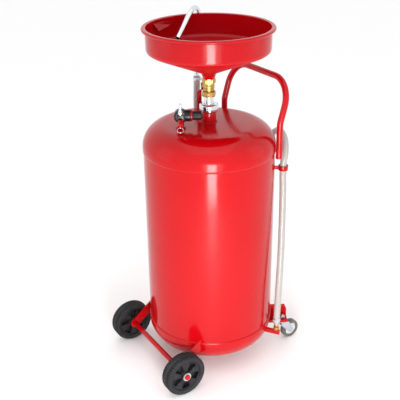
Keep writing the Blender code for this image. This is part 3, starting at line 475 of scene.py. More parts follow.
def enamel(name, tone, deep, orange_peel, haze, dry=0.11, shine=0.38):
    """Gloss enamel on steel: a tone that pools darker, a fine orange peel, and faint handling haze.

    A higher dry and a lower shine are the duller coat that a spray gun leaves where it doesn't reach well.
    """
    made = bpy.data.materials.new(name)
    made.use_nodes = True
    tree = made.node_tree
    tree.nodes.clear()
    output = tree.nodes.new("ShaderNodeOutputMaterial")
    output.label = "painted surface"
    shader = tree.nodes.new("ShaderNodeBsdfPrincipled")
    shader.label = "gloss enamel"
    spot = tree.nodes.new("ShaderNodeTexCoord")
    spot.label = "place on the piece"
    pools = tree.nodes.new("ShaderNodeTexNoise")
    pools.label = "film thicker and thinner"
    colour = tree.nodes.new("ShaderNodeMix")
    colour.label = "enamel, deeper where it pooled"
    smears = tree.nodes.new("ShaderNodeTexNoise")
    smears.label = "handling haze"
    gloss = tree.nodes.new("ShaderNodeMapRange")
    gloss.label = "gloss, duller in the haze"
    peel = tree.nodes.new("ShaderNodeTexNoise")
    peel.label = "orange peel"
    roll = tree.nodes.new("ShaderNodeTexNoise")
    roll.label = "slow waves of the rolled sheet"
    peel_relief = tree.nodes.new("ShaderNodeBump")
    peel_relief.label = "orange peel relief"
    sheet_relief = tree.nodes.new("ShaderNodeBump")
    sheet_relief.label = "sheet waves relief"
    for number, node in enumerate(tree.nodes):
        node.location = (260 * (number % 5), -280 * (number // 5))
    for title, members in (("colour", (pools, colour)), ("gloss", (smears, gloss)),
                           ("relief", (peel, roll, peel_relief, sheet_relief))):
        group = tree.nodes.new("NodeFrame")
        group.label = title
        for node in members:
            node.parent = group
    shader.inputs["IOR"].default_value = 1.42
    shader.inputs["Specular IOR Level"].default_value = shine
    pools.inputs["Scale"].default_value = 5.0
    pools.inputs["Detail"].default_value = 3.0
    colour.data_type = "RGBA"
    colour.inputs["A"].default_value = (*tone, 1.0)
    colour.inputs["B"].default_value = (*deep, 1.0)
    smears.inputs["Scale"].default_value = 14.0
    smears.inputs["Detail"].default_value = 5.0
    gloss.inputs["From Min"].default_value = 0.35
    gloss.inputs["From Max"].default_value = 0.75
    gloss.inputs["To Min"].default_value = dry
    gloss.inputs["To Max"].default_value = dry + haze
    peel.inputs["Scale"].default_value = 260.0
    peel.inputs["Detail"].default_value = 1.0
    roll.inputs["Scale"].default_value = 11.0
    roll.inputs["Detail"].default_value = 0.0
    peel_relief.inputs["Strength"].default_value = orange_peel
    peel_relief.inputs["Distance"].default_value = 0.0003
    sheet_relief.inputs["Strength"].default_value = 0.10
    sheet_relief.inputs["Distance"].default_value = 0.0015
    tree.links.new(spot.outputs["Object"], pools.inputs["Vector"])
    tree.links.new(spot.outputs["Object"], smears.inputs["Vector"])
    tree.links.new(spot.outputs["Object"], peel.inputs["Vector"])
    tree.links.new(spot.outputs["Object"], roll.inputs["Vector"])
    tree.links.new(pools.outputs["Fac"], colour.inputs["Factor"])
    tree.links.new(colour.outputs["Result"], shader.inputs["Base Color"])
    tree.links.new(smears.outputs["Fac"], gloss.inputs["Value"])
    tree.links.new(gloss.outputs["Result"], shader.inputs["Roughness"])
    tree.links.new(roll.outputs["Fac"], sheet_relief.inputs["Height"])
    tree.links.new(peel.outputs["Fac"], peel_relief.inputs["Height"])
    tree.links.new(sheet_relief.outputs["Normal"], peel_relief.inputs["Normal"])
    tree.links.new(peel_relief.outputs["Normal"], shader.inputs["Normal"])
    tree.links.new(shader.outputs["BSDF"], output.inputs["Surface"])
    return made


tank_enamel = enamel("tank_enamel", (0.460, 0.001, 0.004), (0.390, 0.001, 0.003), 0.10, 0.10)


def dressed(piece, body, material):
    """Give a piece its body and its material."""
    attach(piece, body)
    piece.data.materials.append(material)


def fitted(piece, body, node, material):
    """Dress a piece that takes the place of a CAD node."""
    dressed(piece, body, material)
    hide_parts(node)


fitted(top_head, "tank", "tank_top_head", tank_enamel)
fitted(bottom_head, "tank", "tank_bottom_head", tank_enamel)
fitted(shell, "tank", "tank_shell", tank_enamel)
for piece in seam_beads:
    dressed(piece, "tank", tank_enamel)


# ================================================================ filler neck, lock collar and telescopic tube
# The steel neck is welded through the top head and painted with the tank. A chromed collar screws on it and
# grips the chromed tube, which slides up and down through a nylon sleeve and a rubber seal.
collar_low, collar_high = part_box("lock_collar")
tube_low, tube_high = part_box("inner_tube")
neck_low, neck_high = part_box("filler_neck")
TUBE_R = tube_high[0]
COLLAR_R = collar_high[0]
COLLAR_BORE = TUBE_R + 0.0003
NECK_BORE_R = 0.0180
TUBE_WALL = 0.002
KNURLS = 24                # round the collar


def plated(name, tone, shade, rough, streak):
    """Bare or plated metal: a tone with darker clouds, fine turning marks, and patches of duller plating."""
    made = bpy.data.materials.new(name)
    made.use_nodes = True
    tree = made.node_tree
    tree.nodes.clear()
    output = tree.nodes.new("ShaderNodeOutputMaterial")
    output.label = "metal surface"
    shader = tree.nodes.new("ShaderNodeBsdfPrincipled")
    shader.label = "metal"
    spot = tree.nodes.new("ShaderNodeTexCoord")
    spot.label = "place on the piece"
    clouds = tree.nodes.new("ShaderNodeTexNoise")
    clouds.label = "clouds in the plating"
    colour = tree.nodes.new("ShaderNodeMix")
    colour.label = "metal and its darker clouds"
    stretch = tree.nodes.new("ShaderNodeMapping")
    stretch.label = "marks run around the piece"
    marks = tree.nodes.new("ShaderNodeTexNoise")
    marks.label = "turning marks"
    dull = tree.nodes.new("ShaderNodeTexNoise")
    dull.label = "duller patches"
    gloss = tree.nodes.new("ShaderNodeMapRange")
    gloss.label = "roughness of the plating"
    relief = tree.nodes.new("ShaderNodeBump")
    relief.label = "turning mark relief"
    for number, node in enumerate(tree.nodes):
        node.location = (260 * (number % 5), -280 * (number // 5))
    for title, members in (("colour", (clouds, colour)), ("gloss", (dull, gloss)),
                           ("relief", (stretch, marks, relief))):
        group = tree.nodes.new("NodeFrame")
        group.label = title
        for node in members:
            node.parent = group
    shader.inputs["Metallic"].default_value = 1.0
    clouds.inputs["Scale"].default_value = 38.0
    clouds.inputs["Detail"].default_value = 4.0
    colour.data_type = "RGBA"
    colour.inputs["A"].default_value = (*tone, 1.0)
    colour.inputs["B"].default_value = (*shade, 1.0)
    stretch.inputs["Scale"].default_value = (20.0, 20.0, 1400.0)
    marks.inputs["Scale"].default_value = 1.0
    marks.inputs["Detail"].default_value = 2.0
    dull.inputs["Scale"].default_value = 75.0
    dull.inputs["Detail"].default_value = 3.0
    gloss.inputs["To Min"].default_value = rough * 0.7
    gloss.inputs["To Max"].default_value = rough * 1.5
    relief.inputs["Strength"].default_value = streak
    relief.inputs["Distance"].default_value = 0.0002
    tree.links.new(spot.outputs["Object"], clouds.inputs["Vector"])
    tree.links.new(spot.outputs["Object"], stretch.inputs["Vector"])
    tree.links.new(spot.outputs["Object"], dull.inputs["Vector"])
    tree.links.new(stretch.outputs["Vector"], marks.inputs["Vector"])
    tree.links.new(clouds.outputs["Fac"], colour.inputs["Factor"])
    tree.links.new(colour.outputs["Result"], shader.inputs["Base Color"])
    tree.links.new(dull.outputs["Fac"], gloss.inputs["Value"])
    tree.links.new(gloss.outputs["Result"], shader.inputs["Roughness"])
    tree.links.new(marks.outputs["Fac"], relief.inputs["Height"])
    tree.links.new(relief.outputs["Normal"], shader.inputs["Normal"])
    tree.links.new(shader.outputs["BSDF"], output.inputs["Surface"])
    return made


chrome = plated("chrome", (0.78, 0.80, 0.82), (0.66, 0.68, 0.71), 0.12, 0.15)
neck = lathed("neck", [(NECK_BORE_R, neck_low[2]), (NECK_R, neck_low[2]), (NECK_R, neck_high[2]),
                       (NECK_BORE_R, neck_high[2])], 0.001, 64)
fitted(neck, "tank", "filler_neck", tank_enamel)
collar_foot = collar_low[2]
collar = lathed("collar", [
    (COLLAR_BORE, collar_foot), (COLLAR_R - 0.0035, collar_foot), (COLLAR_R, collar_foot + 0.0037),
    (COLLAR_R, collar_foot + 0.0187), (COLLAR_R - 0.0020, collar_foot + 0.0217),
    (COLLAR_R - 0.0060, collar_high[2]), (COLLAR_BORE, collar_high[2])], 0.0012, 96)
knurled = np.zeros(len(collar.data.vertices) * 3)
collar.data.vertices.foreach_get("co", knurled)
knurled = knurled.reshape(-1, 3)
collar_reach = np.linalg.norm(knurled[:, :2], axis=1)
collar_wall = (collar_reach > COLLAR_R - 0.0006) & (np.abs(knurled[:, 2] - collar_foot - 0.0112) < 0.0076)
dent = 1 - 0.020 * collar_wall * (0.5 + 0.5 * np.cos(np.arctan2(knurled[:, 1], knurled[:, 0]) * KNURLS))
knurled[:, :2] *= dent[:, None]
collar.data.vertices.foreach_set("co", knurled.reshape(-1))
fitted(collar, "collar", "lock_collar", chrome)
lift_tube = lathed("telescopic_tube", [
    (TUBE_R - TUBE_WALL, tube_low[2]), (TUBE_R, tube_low[2]), (TUBE_R, tube_high[2]),
    (TUBE_R - TUBE_WALL, tube_high[2])], 0.0005, 64)
fitted(lift_tube, "bowl_carriage", "inner_tube", chrome)


# ================================================================ ball valve
# A brass ball valve joins the tube to the bowl: hexagon at the top, cast body, threaded end with its hexagon,
# gland nut at the side. A strip lever cranked downwards, red like the tank, turns the ball a quarter turn.
VALVE_HALF = 0.0265         # half the valve's length
VALVE_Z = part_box("valve_body")[1][2] - VALVE_HALF
STEM_HOLE_R = 0.0035
NUT_STEPS = 72
PORT_R = 0.0080


def nut(name, across, bore, low, high, place=Matrix(), chamfer=0.0012, spin=0.0):
    """A nut: the hexagon's edge at turn t is (across / 2) / cos(t from the middle of its flat).

    The corners are turned down at both ends to a circle just wider than the flats.
    """
    turn = np.arange(NUT_STEPS) / NUT_STEPS * math.tau
    flat = np.mod(turn, math.pi / 3) - math.pi / 6
    edge = across / 2 / np.cos(flat)
    faced = np.minimum(edge, across / 2 * 1.02)
    heights = (low, low, low + chamfer, high - chamfer, high, high)
    inner = np.full(NUT_STEPS, bore)
    reach = np.stack([inner, faced, edge, edge, faced, inner])
    level = np.broadcast_to(np.array(heights)[:, None], reach.shape)
    grid = np.stack([reach * np.cos(turn + spin), reach * np.sin(turn + spin), level], axis=-1)
    return skin(name, placed(grid, place), loop_rows=True)


brass = plated("brass", (0.58, 0.37, 0.12), (0.44, 0.26, 0.07), 0.34, 0.25)
here = Matrix.Translation((0, 0, VALVE_Z))
side_on = Matrix.Rotation(math.radians(90), 4, "Y")
valve_top = nut("valve_top_hexagon", 0.0340, PORT_R, 0.0115, VALVE_HALF, here)
fitted(valve_top, "bowl_carriage", "valve_body", brass)
valve_middle = lathed("valve_cast_body", [
    (0.0122, -0.0105), (0.0150, -0.0105), (0.0160, -0.0085), (0.0160, -0.0030), (0.0168, 0.0), (0.0168, 0.0050),
    (0.0158, 0.0075), (0.0158, 0.0114), (0.0122, 0.0114)], 0.0015, 64, here)
valve_stub = lathed("valve_gland_boss", [
    (STEM_HOLE_R, -0.0172), (0.0070, -0.0172), (0.0078, -0.0150), (0.0078, -0.0125), (STEM_HOLE_R, -0.0125)],
    0.0008, 40, here @ side_on)
valve_end = nut("valve_end_hexagon", 0.0365, PORT_R, -VALVE_HALF, -0.0122, here, spin=0.26)
valve_ring = lathed("valve_thread_ring", [
    (0.0122, -0.0122), (0.0165, -0.0122), (0.0165, -0.0108), (0.0122, -0.0108)], 0.0004, 48, here)
gland = nut("gland_hexagon", 0.0150, STEM_HOLE_R, -0.0240, -0.0174, here @ side_on, chamfer=0.0008)
for piece in (valve_middle, valve_stub, valve_ring):
    dressed(piece, "bowl_carriage", brass)
fitted(valve_end, "bowl_carriage", "valve_end_nut", brass)
fitted(gland, "bowl_carriage", "gland_nut", brass)
stem = lathed("stem", [(0.0, -0.0385), (0.0030, -0.0385), (0.0030, -0.0118), (0.0, -0.0118)], 0.0006, 32,
              here @ side_on)
fitted(stem, "valve_lever_set", "valve_stem", brass)


def strip(name, centre, half_width, half_thick, place):
    """A bent flat strip: a rounded rectangle carried along a centre line of (u, v), its width square to both.

    The rectangle is |cos t| and |sin t| raised to a quarter power, with their signs.
    """
    centre = np.asarray(centre, float)
    heading = np.gradient(centre, axis=0)
    heading /= np.linalg.norm(heading, axis=1, keepdims=True)
    normal = np.stack([-heading[:, 1], heading[:, 0]], axis=1)
    turn = (np.arange(48) + 0.5) / 48 * math.tau
    wide = np.sign(np.cos(turn)) * np.abs(np.cos(turn)) ** 0.25 * half_width
    thick = np.sign(np.sin(turn)) * np.abs(np.sin(turn)) ** 0.25 * half_thick
    flat = centre[:, None] + normal[:, None] * thick[None, :, None]
    grid = np.stack([flat[..., 0], np.broadcast_to(wide, flat.shape[:2]), flat[..., 1]], axis=-1)
    middle = np.stack([centre[:, 0], np.zeros(len(centre)), centre[:, 1]], axis=1)
    tips = np.broadcast_to(middle[[0, -1], None], (2, len(turn), 3))
    return skin(name, placed(np.concatenate([tips[:1], grid, tips[1:]]), place))


lever_enamel = enamel("lever_enamel", (0.450, 0.004, 0.008), (0.360, 0.002, 0.005), 0.16, 0.14)
lever_line = eased([(-0.0291, 0.0080), (-0.0291, -0.0132), (-0.0530, -0.0254), (-0.0530, -0.0866)], 0.004,
                   steps=8, closed=False)
lever = strip("lever", lever_line, 0.0078, 0.0014, here)
fitted(lever, "valve_lever_set", "valve_lever", lever_enamel)


def moulded(name, tone, worn, rough, grain, depth):
    """Plastic or rubber: a tone scuffed lighter in places, with a fine moulded grain."""
    made = bpy.data.materials.new(name)
    made.use_nodes = True
    tree = made.node_tree
    tree.nodes.clear()
    output = tree.nodes.new("ShaderNodeOutputMaterial")
    output.label = "moulded surface"
    shader = tree.nodes.new("ShaderNodeBsdfPrincipled")
    shader.label = "plastic or rubber"
    spot = tree.nodes.new("ShaderNodeTexCoord")
    spot.label = "place on the piece"
    scuffs = tree.nodes.new("ShaderNodeTexNoise")
    scuffs.label = "scuffs and dust"
    colour = tree.nodes.new("ShaderNodeMix")
    colour.label = "moulding, lighter where scuffed"
    spread = tree.nodes.new("ShaderNodeMapRange")
    spread.label = "where it is scuffed"
    gloss = tree.nodes.new("ShaderNodeMapRange")
    gloss.label = "roughness"
    pebbles = tree.nodes.new("ShaderNodeTexNoise")
    pebbles.label = "moulded grain"
    relief = tree.nodes.new("ShaderNodeBump")
    relief.label = "grain relief"
    for number, node in enumerate(tree.nodes):
        node.location = (260 * (number % 5), -280 * (number // 5))
    for title, members in (("colour", (scuffs, spread, colour)), ("gloss", (gloss,)),
                           ("relief", (pebbles, relief))):
        group = tree.nodes.new("NodeFrame")
        group.label = title
        for node in members:
            node.parent = group
    shader.inputs["IOR"].default_value = 1.50
    shader.inputs["Specular IOR Level"].default_value = 0.36
    scuffs.inputs["Scale"].default_value = 48.0
    scuffs.inputs["Detail"].default_value = 6.0
    scuffs.inputs["Roughness"].default_value = 0.65
    colour.data_type = "RGBA"
    colour.inputs["A"].default_value = (*tone, 1.0)
    colour.inputs["B"].default_value = (*worn, 1.0)
    spread.inputs["From Min"].default_value = 0.42
    spread.inputs["From Max"].default_value = 0.72
    gloss.inputs["To Min"].default_value = rough * 0.85
    gloss.inputs["To Max"].default_value = min(1.0, rough * 1.25)
    pebbles.inputs["Scale"].default_value = grain
    pebbles.inputs["Detail"].default_value = 2.0
    relief.inputs["Strength"].default_value = 0.35
    relief.inputs["Distance"].default_value = depth
    tree.links.new(spot.outputs["Object"], scuffs.inputs["Vector"])
    tree.links.new(spot.outputs["Object"], pebbles.inputs["Vector"])
    tree.links.new(scuffs.outputs["Fac"], spread.inputs["Value"])
    tree.links.new(spread.outputs["Result"], colour.inputs["Factor"])
    tree.links.new(colour.outputs["Result"], shader.inputs["Base Color"])
    tree.links.new(scuffs.outputs["Fac"], gloss.inputs["Value"])
    tree.links.new(gloss.outputs["Result"], shader.inputs["Roughness"])
    tree.links.new(pebbles.outputs["Fac"], relief.inputs["Height"])
    tree.links.new(relief.outputs["Normal"], shader.inputs["Normal"])
    tree.links.new(shader.outputs["BSDF"], output.inputs["Surface"])
    return made


black_plastic = moulded("black_plastic", (0.006, 0.006, 0.007), (0.014, 0.014, 0.016), 0.30, 900.0, 0.0002)
lever_nut = nut("lever_nut_hexagon", 0.0100, 0.0033, -0.0362, -0.0308, here @ side_on, chamfer=0.0006)
fitted(lever_nut, "valve_lever_set", "lever_nut", black_plastic)


# ================================================================ catch bowl
# Spun from 2 mm steel and painted inside and out: a shallow cone, an upright wall and a rim rolled outwards
# over a wire. A folded plate is welded across the inside of the wall.
bowl_low, bowl_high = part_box("bowl")
RIM_R = bowl_high[0]
BEAD_R = 0.0045
RIM_Z = bowl_high[2] - BEAD_R
UNDERSIDE = -0.8           # faces whose normal's height is below this take the duller coat
rim_turn = np.radians(np.linspace(200, 450, 22))
rim_curl = np.stack([RIM_R - BEAD_R + BEAD_R * np.cos(rim_turn), RIM_Z + BEAD_R * np.sin(rim_turn)], axis=1)
outside = eased([(0.0172, bowl_low[2]), (0.0190, 0.926), (0.0215, 0.934), (0.0260, 0.9385), (0.1700, 0.9985),
                 (0.1770, 1.0030), (0.1790, 1.0100), (0.1795, RIM_Z - 0.0020)], 0.005, steps=6, closed=False)
inside = eased([(0.1776, RIM_Z + 0.0035), (0.1771, 1.0105), (0.1755, 1.0048), (0.1690, 1.0004),
                (0.0245, 0.9401), (0.0190, 0.9355), (0.0165, 0.931), (0.0150, bowl_low[2])], 0.005, steps=6,
               closed=False)
bowl = turned("catch_bowl", np.vstack([outside, rim_curl, inside]), 192)
bowl_enamel = enamel("bowl_enamel", (0.460, 0.002, 0.005), (0.370, 0.001, 0.004), 0.12, 0.08)
fitted(bowl, "bowl_carriage", "bowl", bowl_enamel)
dull_enamel = enamel("bowl_underside", (0.460, 0.002, 0.005), (0.370, 0.001, 0.004), 0.30, 0.10,
                     dry=0.50, shine=0.04)
bowl.data.materials.append(dull_enamel)
facing = np.zeros(len(bowl.data.polygons) * 3)
bowl.data.polygons.foreach_get("normal", facing)
bowl.data.polygons.foreach_set("material_index", (facing.reshape(-1, 3)[:, 2] < UNDERSIDE).astype(np.int32))


def repainted(node, material):
    """Give a CAD node that is shown as it is its material."""
    piece = bpy.data.objects[node]
    piece.data.materials.clear()
    piece.data.materials.append(material)


repainted("drip_plate", bowl_enamel)


# ================================================================ discharge nozzle
# A 15 mm chromed tube, open at both ends, hooked over the bowl's rim. The drain hose is clamped on its lower
# end.
HOOK_R = 0.0075
HOOK_BORE_R = 0.0057
hook_route = np.array([
    (-0.1180, -0.0320, 1.0180), (-0.1340, -0.0040, 1.0420), (-0.1510, 0.0260, 1.0700), (-0.1655, 0.0500, 1.0855),
    (-0.1765, 0.0690, 1.0850), (-0.1855, 0.0830, 1.0660), (-0.1870, 0.0850, 1.0300), (-0.1870, 0.0800, 0.9700),
    (-0.1870, 0.0755, 0.9200), (-0.1870, 0.0750, 0.8960), (-0.1870, 0.0750, 0.8720),
])
hook = tube("hooked_nozzle", flowing(hook_route, 120), HOOK_R, bore=HOOK_BORE_R, toward=(0.86, -0.5, 0.0),
            sides=32)
fitted(hook, "bowl_carriage", "hook_nozzle", chrome)

zinc = plated("zinc", (0.70, 0.73, 0.78), (0.52, 0.55, 0.60), 0.30, 0.30)


def clamped(node, body, centre, spin):
    """A worm-drive clamp: a thin band, a housing on it, and a screw across the housing."""
    at = Matrix.Translation(centre) @ Matrix.Rotation(spin, 4, "Z")
    band = lathed(node + "_band", [(0.0110, -0.0050), (0.0119, -0.0050), (0.0119, 0.0050), (0.0110, 0.0050)],
                  0.0003, 64, at)
    fitted(band, body, node, zinc)
    housing = strip(node + "_housing", [(0.0, -0.0036), (0.0, -0.0030), (0.0, 0.0030), (0.0, 0.0036)],
                    0.0055, 0.0022, at @ Matrix.Translation((0.0141, 0, 0)))
    across = at @ Matrix.Translation((0.0143, 0, 0)) @ Matrix.Rotation(math.radians(90), 4, "X")
    screw = lathed(node + "_screw", [(0.0, -0.0069), (0.0020, -0.0069), (0.0020, 0.0044), (0.0029, 0.0044),
                                     (0.0029, 0.0069), (0.0, 0.0069)], 0.0005, 24, across)
    dressed(housing, body, zinc)
    dressed(screw, body, zinc)


clamped("hose_clamp_upper", "bowl_carriage", (-0.187, 0.075, 0.863), math.radians(35))


# ================================================================ push handle
# One bent 19 mm tube, painted, its feet welded to the tank's shoulder.
HANDLE_R = 0.0095
HANDLE_BORE_R = 0.0080
HANDLE_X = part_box("handle")[1][0] - HANDLE_R
HANDLE_BENDS = (0.060, 0.075, 0.075, 0.060)
handle_corners = np.array([
    (HANDLE_X, 0.152, 0.6862), (HANDLE_X, 0.152, 0.795), (HANDLE_X, 0.187, 0.915),
    (-HANDLE_X, 0.187, 0.915), (-HANDLE_X, 0.152, 0.795), (-HANDLE_X, 0.152, 0.6862),
])


def bent(corners, radii, steps=14):
    """Straight runs joined by arcs: centre = corner + bisector * radius / sin(half angle), and along each arc
    the spoke is (start sin((1-t)s) + stop sin(ts)) / sin s, where s is the angle between the two spokes."""
    points = [corners[:1]]
    for before, corner, after, radius in zip(corners, corners[1:], corners[2:], radii):
        back = (before - corner) / np.linalg.norm(before - corner)
        ahead = (after - corner) / np.linalg.norm(after - corner)
        half = math.acos(float(back @ ahead)) / 2
        middle = back + ahead
        centre = corner + middle / np.linalg.norm(middle) * radius / math.sin(half)
        start = corner + back * radius / math.tan(half) - centre
        stop = corner + ahead * radius / math.tan(half) - centre
        sweep = math.pi - 2 * half
        t = np.linspace(0, 1, steps)[:, None]
        points.append(centre + (start * np.sin((1 - t) * sweep) + stop * np.sin(t * sweep)) / math.sin(sweep))
    points.append(corners[-1:])
    return np.vstack(points)


handle = tube("push_handle", bent(handle_corners, HANDLE_BENDS), HANDLE_R, bore=HANDLE_BORE_R,
              toward=(0, 1, 0.0001), sides=40)
handle_enamel = enamel("handle_enamel", (0.480, 0.003, 0.008), (0.400, 0.001, 0.005), 0.10, 0.10)
fitted(handle, "tank", "handle", handle_enamel)


# ================================================================ outlet, hose tail and hose clip
# A red pipe is welded through the bottom head, with a brass hose tail standing in its end. A red ring on a
# short arm, welded to the tank's shoulder, steadies the hose.
OUTLET_TURN = math.radians(35.5)
OUTLET_REACH = 0.230
OUTLET_Z = 0.098
out = Matrix.Translation((0, 0, OUTLET_Z)) @ Matrix.Rotation(OUTLET_TURN, 4, "Z") @ side_on
stand = out @ Matrix.Translation((0, 0, OUTLET_REACH)) @ side_on.inverted()
pipe_end = OUTLET_REACH + 0.0114
pipe = lathed("outlet_pipe_body", [(0.0, 0.1765), (0.0085, 0.1765), (0.0085, pipe_end), (0.0, pipe_end)],
              0.0012, 48, out)
fitted(pipe, "tank", "outlet_pipe", tank_enamel)
boss = lathed("outlet_boss", [(0.0050, -0.002), (0.0090, -0.002), (0.0090, 0.0094), (0.0050, 0.0094)],
              0.0008, 48, stand)
dressed(boss, "tank", tank_enamel)
tail_hex = nut("outlet_hexagon", 0.0165, 0.0048, 0.0098, 0.0190, stand, chamfer=0.0010)
fitted(tail_hex, "tank", "outlet_fitting", brass)
tail = lathed("outlet_hose_tail", [
    (0.0048, 0.0190), (0.0068, 0.0190), (0.0078, 0.0225), (0.0068, 0.0228), (0.0078, 0.0270), (0.0066, 0.0330),
    (0.0048, 0.0330)], 0.0004, 48, stand)
dressed(tail, "tank", brass)
clamped("hose_clamp_lower", "tank", (0.1869, 0.1339, 0.148), math.radians(-60))

CLIP_TURN = math.radians(57.4)
CLIP_REACH = 0.2244
CLIP_Z = 0.640
clip_at = Matrix.Rotation(CLIP_TURN, 4, "Z") @ Matrix.Translation((CLIP_REACH, 0, CLIP_Z))
clip_ring = lathed("clip_ring", [(0.0127, -0.0075), (0.0149, -0.0075), (0.0149, 0.0075), (0.0127, 0.0075)],
                   0.0007, 64, clip_at)
fitted(clip_ring, "tank", "hose_clip", tank_enamel)
clip_arm = strip("clip_arm", [(0.0, -0.0058), (0.0, -0.005), (0.0, 0.005), (0.0, 0.0058)], 0.0014, 0.0056,
                 clip_at @ Matrix.Translation((-0.0198, 0, 0)))
dressed(clip_arm, "tank", tank_enamel)


# ================================================================ compressed-air inlet
# A red bung welded to the top head carries a brass nipple and a black regulator: drum, bonnet with a red lock
# ring and a ribbed knob, a chromed quick plug standing on it and a red safety valve with a pull ring below.
INLET_Y = -0.097
REGULATOR_TURN = math.radians(58)
reg = Matrix.Translation((0.0, INLET_Y, 0.826)) @ Matrix.Rotation(REGULATOR_TURN, 4, "Z")
face_on = Matrix.Rotation(math.radians(90), 4, "X")
lean = Matrix.Translation((0, -0.0225, -0.0085)) @ Matrix.Rotation(math.radians(122), 4, "X")
inlet = Matrix.Translation((0.0, INLET_Y, 0.0))
bung = lathed("inlet_bung_body", [(0.0, 0.7885), (0.0140, 0.7885), (0.0140, 0.7940), (0.0, 0.7940)],
              0.0010, 48, inlet)
fitted(bung, "tank", "inlet_bung", tank_enamel)
nipple = nut("inlet_hexagon", 0.0170, 0.0040, 0.7943, 0.7997, inlet, chamfer=0.0007)
fitted(nipple, "tank", "inlet_nipple", brass)
drum = lathed("regulator_drum", [(0.0, -0.0140), (0.0150, -0.0140), (0.0195, -0.0115), (0.0195, 0.0115),
                                 (0.0150, 0.0140), (0.0, 0.0140)], 0.002, 64, reg @ face_on)
fitted(drum, "tank", "regulator_body", black_plastic)
for name, corners, at in (
    ("regulator_foot", [(0.0, -0.0260), (0.0095, -0.0260), (0.0095, -0.0100), (0.0, -0.0100)], reg),
    ("regulator_bonnet", [(0.0, 0.0100), (0.0170, 0.0100), (0.0170, 0.0285), (0.0, 0.0285)], reg @ side_on),
    ("regulator_shank", [(0.0, 0.0280), (0.0060, 0.0280), (0.0060, 0.0440), (0.0, 0.0440)], reg @ side_on),
    ("regulator_boss", [(0.0, 0.0100), (0.0095, 0.0100), (0.0095, 0.0222), (0.0, 0.0222)],
     reg @ Matrix.Translation((0, 0, 0.001)) @ face_on),
):
    dressed(lathed(name, corners, 0.0012, 48, at), "tank", black_plastic)

plug = lathed("quick_plug_body", [
    (0.0, 0.0), (0.0070, 0.0), (0.0070, 0.0080), (0.0048, 0.0092), (0.0048, 0.0150), (0.0058, 0.0165),
    (0.0058, 0.0200), (0.0042, 0.0215), (0.0042, 0.0270), (0.0030, 0.0325), (0.0, 0.0325)], 0.0007, 40,
    reg @ Matrix.Translation((0, -0.0220, 0.0108)))
fitted(plug, "tank", "quick_plug", chrome)
safety = lathed("safety_valve", [
    (0.0025, 0.0), (0.0060, 0.0), (0.0080, 0.0020), (0.0080, 0.0190), (0.0068, 0.0220), (0.0025, 0.0220)],
    0.0008, 40, reg @ lean)
fitted(safety, "tank", "safety_valve_body", lever_enamel)
lock_ring = lathed("lock_ring", [(0.0070, 0.0288), (0.0170, 0.0288), (0.0170, 0.0335), (0.0070, 0.0335)],
                   0.0010, 64, reg @ side_on)
fitted(lock_ring, "knob_lock", "regulator_lock_ring", lever_enamel)

KNOB_RIBS = 18
RIB_DEPTH = 0.00055
knob_profile = eased([
    (0.0, 0.0620), (0.0095, 0.0620), (0.0125, 0.0600), (0.0130, 0.0570), (0.0130, 0.0345), (0.0122, 0.0338),
    (0.0064, 0.0338), (0.0064, 0.0450), (0.0, 0.0450)], 0.0010, closed=False)
knob_turn = np.arange(144) / 144 * math.tau
knob_wall = np.clip((knob_profile[:, :1] - 0.0115) / 0.0012, 0, 1)
ribbed = knob_wall * RIB_DEPTH * (1 - np.cos(knob_turn * KNOB_RIBS)) / 2
knob_reach = knob_profile[:, :1] - ribbed
knob_grid = np.stack([knob_reach * np.cos(knob_turn), knob_reach * np.sin(knob_turn),
                      np.broadcast_to(knob_profile[:, 1:], knob_reach.shape)], axis=-1)
knob = skin("pressure_knob_grip", placed(knob_grid, reg @ side_on))
fitted(knob, "pressure_knob", "regulator_knob", black_plastic)

PULL_R = 0.0088
PULL_Z = 0.0343
pull_turn = np.radians(np.linspace(90, 430, 72))
pull_line = np.stack([PULL_R * np.cos(pull_turn), np.zeros(72), PULL_Z - PULL_R * np.sin(pull_turn)], axis=1)
pull_at = reg @ lean
pull_eye = tube("pull_ring", placed(pull_line, pull_at), 0.00108, toward=tuple(pull_at.col[1][:3]), sides=16)
fitted(pull_eye, "safety_pull", "safety_pull_ring", chrome)
pull_stem = lathed("pull_stem", [(0.0, 0.0020), (0.0021, 0.0020), (0.0021, 0.0262), (0.0, 0.0262)],
                   0.0004, 24, pull_at)
dressed(pull_stem, "safety_pull", chrome)


# ================================================================ wheels and axle
# Two 134 mm wheels with solid rubber tyres on black moulded centres, five broad flat spokes each. They turn on
# one red bar through the brackets, held by a zinc washer at each end. The brackets are flat bar.
tyre_low, tyre_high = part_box("tyre_right")
WHEEL_R = (tyre_high[2] - tyre_low[2]) / 2
WHEEL_W = tyre_high[0] - tyre_low[0]
WHEEL_X = (tyre_high[0] + tyre_low[0]) / 2
WHEEL_Y = (tyre_high[1] + tyre_low[1]) / 2
TREAD_BLOCKS = 48          # round each shoulder
TREAD_DEPTH = 0.0030
TREAD_STARTS = 0.0612      # radius at which the grooves begin
TREAD_ROWS = 13            # across the flat of the tread
BLOCK_STARTS = 0.0060      # distance of the shoulder blocks from the tyre's middle
GROOVE_AT = 0.0045         # distance of the two round grooves from the tyre's middle
GROOVE_HALF = 0.0011
rubber = moulded("tyre_rubber", (0.007, 0.0075, 0.0085), (0.022, 0.023, 0.026), 0.58, 520.0, 0.0003)
tyre_profile = eased([(0.0500, -0.0168), (0.0520, -0.0184), (0.0600, -WHEEL_W / 2), (0.0645, -0.0185),
                      (WHEEL_R, -0.0140), (WHEEL_R, 0.0140), (0.0645, 0.0185), (0.0600, WHEEL_W / 2),
                      (0.0520, 0.0184), (0.0500, 0.0168)], 0.0022, steps=5)
crown_rows = np.linspace(-0.0132, 0.0132, TREAD_ROWS)
split_at = int(np.argmax((tyre_profile[:, 0] > WHEEL_R - 1e-5) & (tyre_profile[:, 1] > 0)))
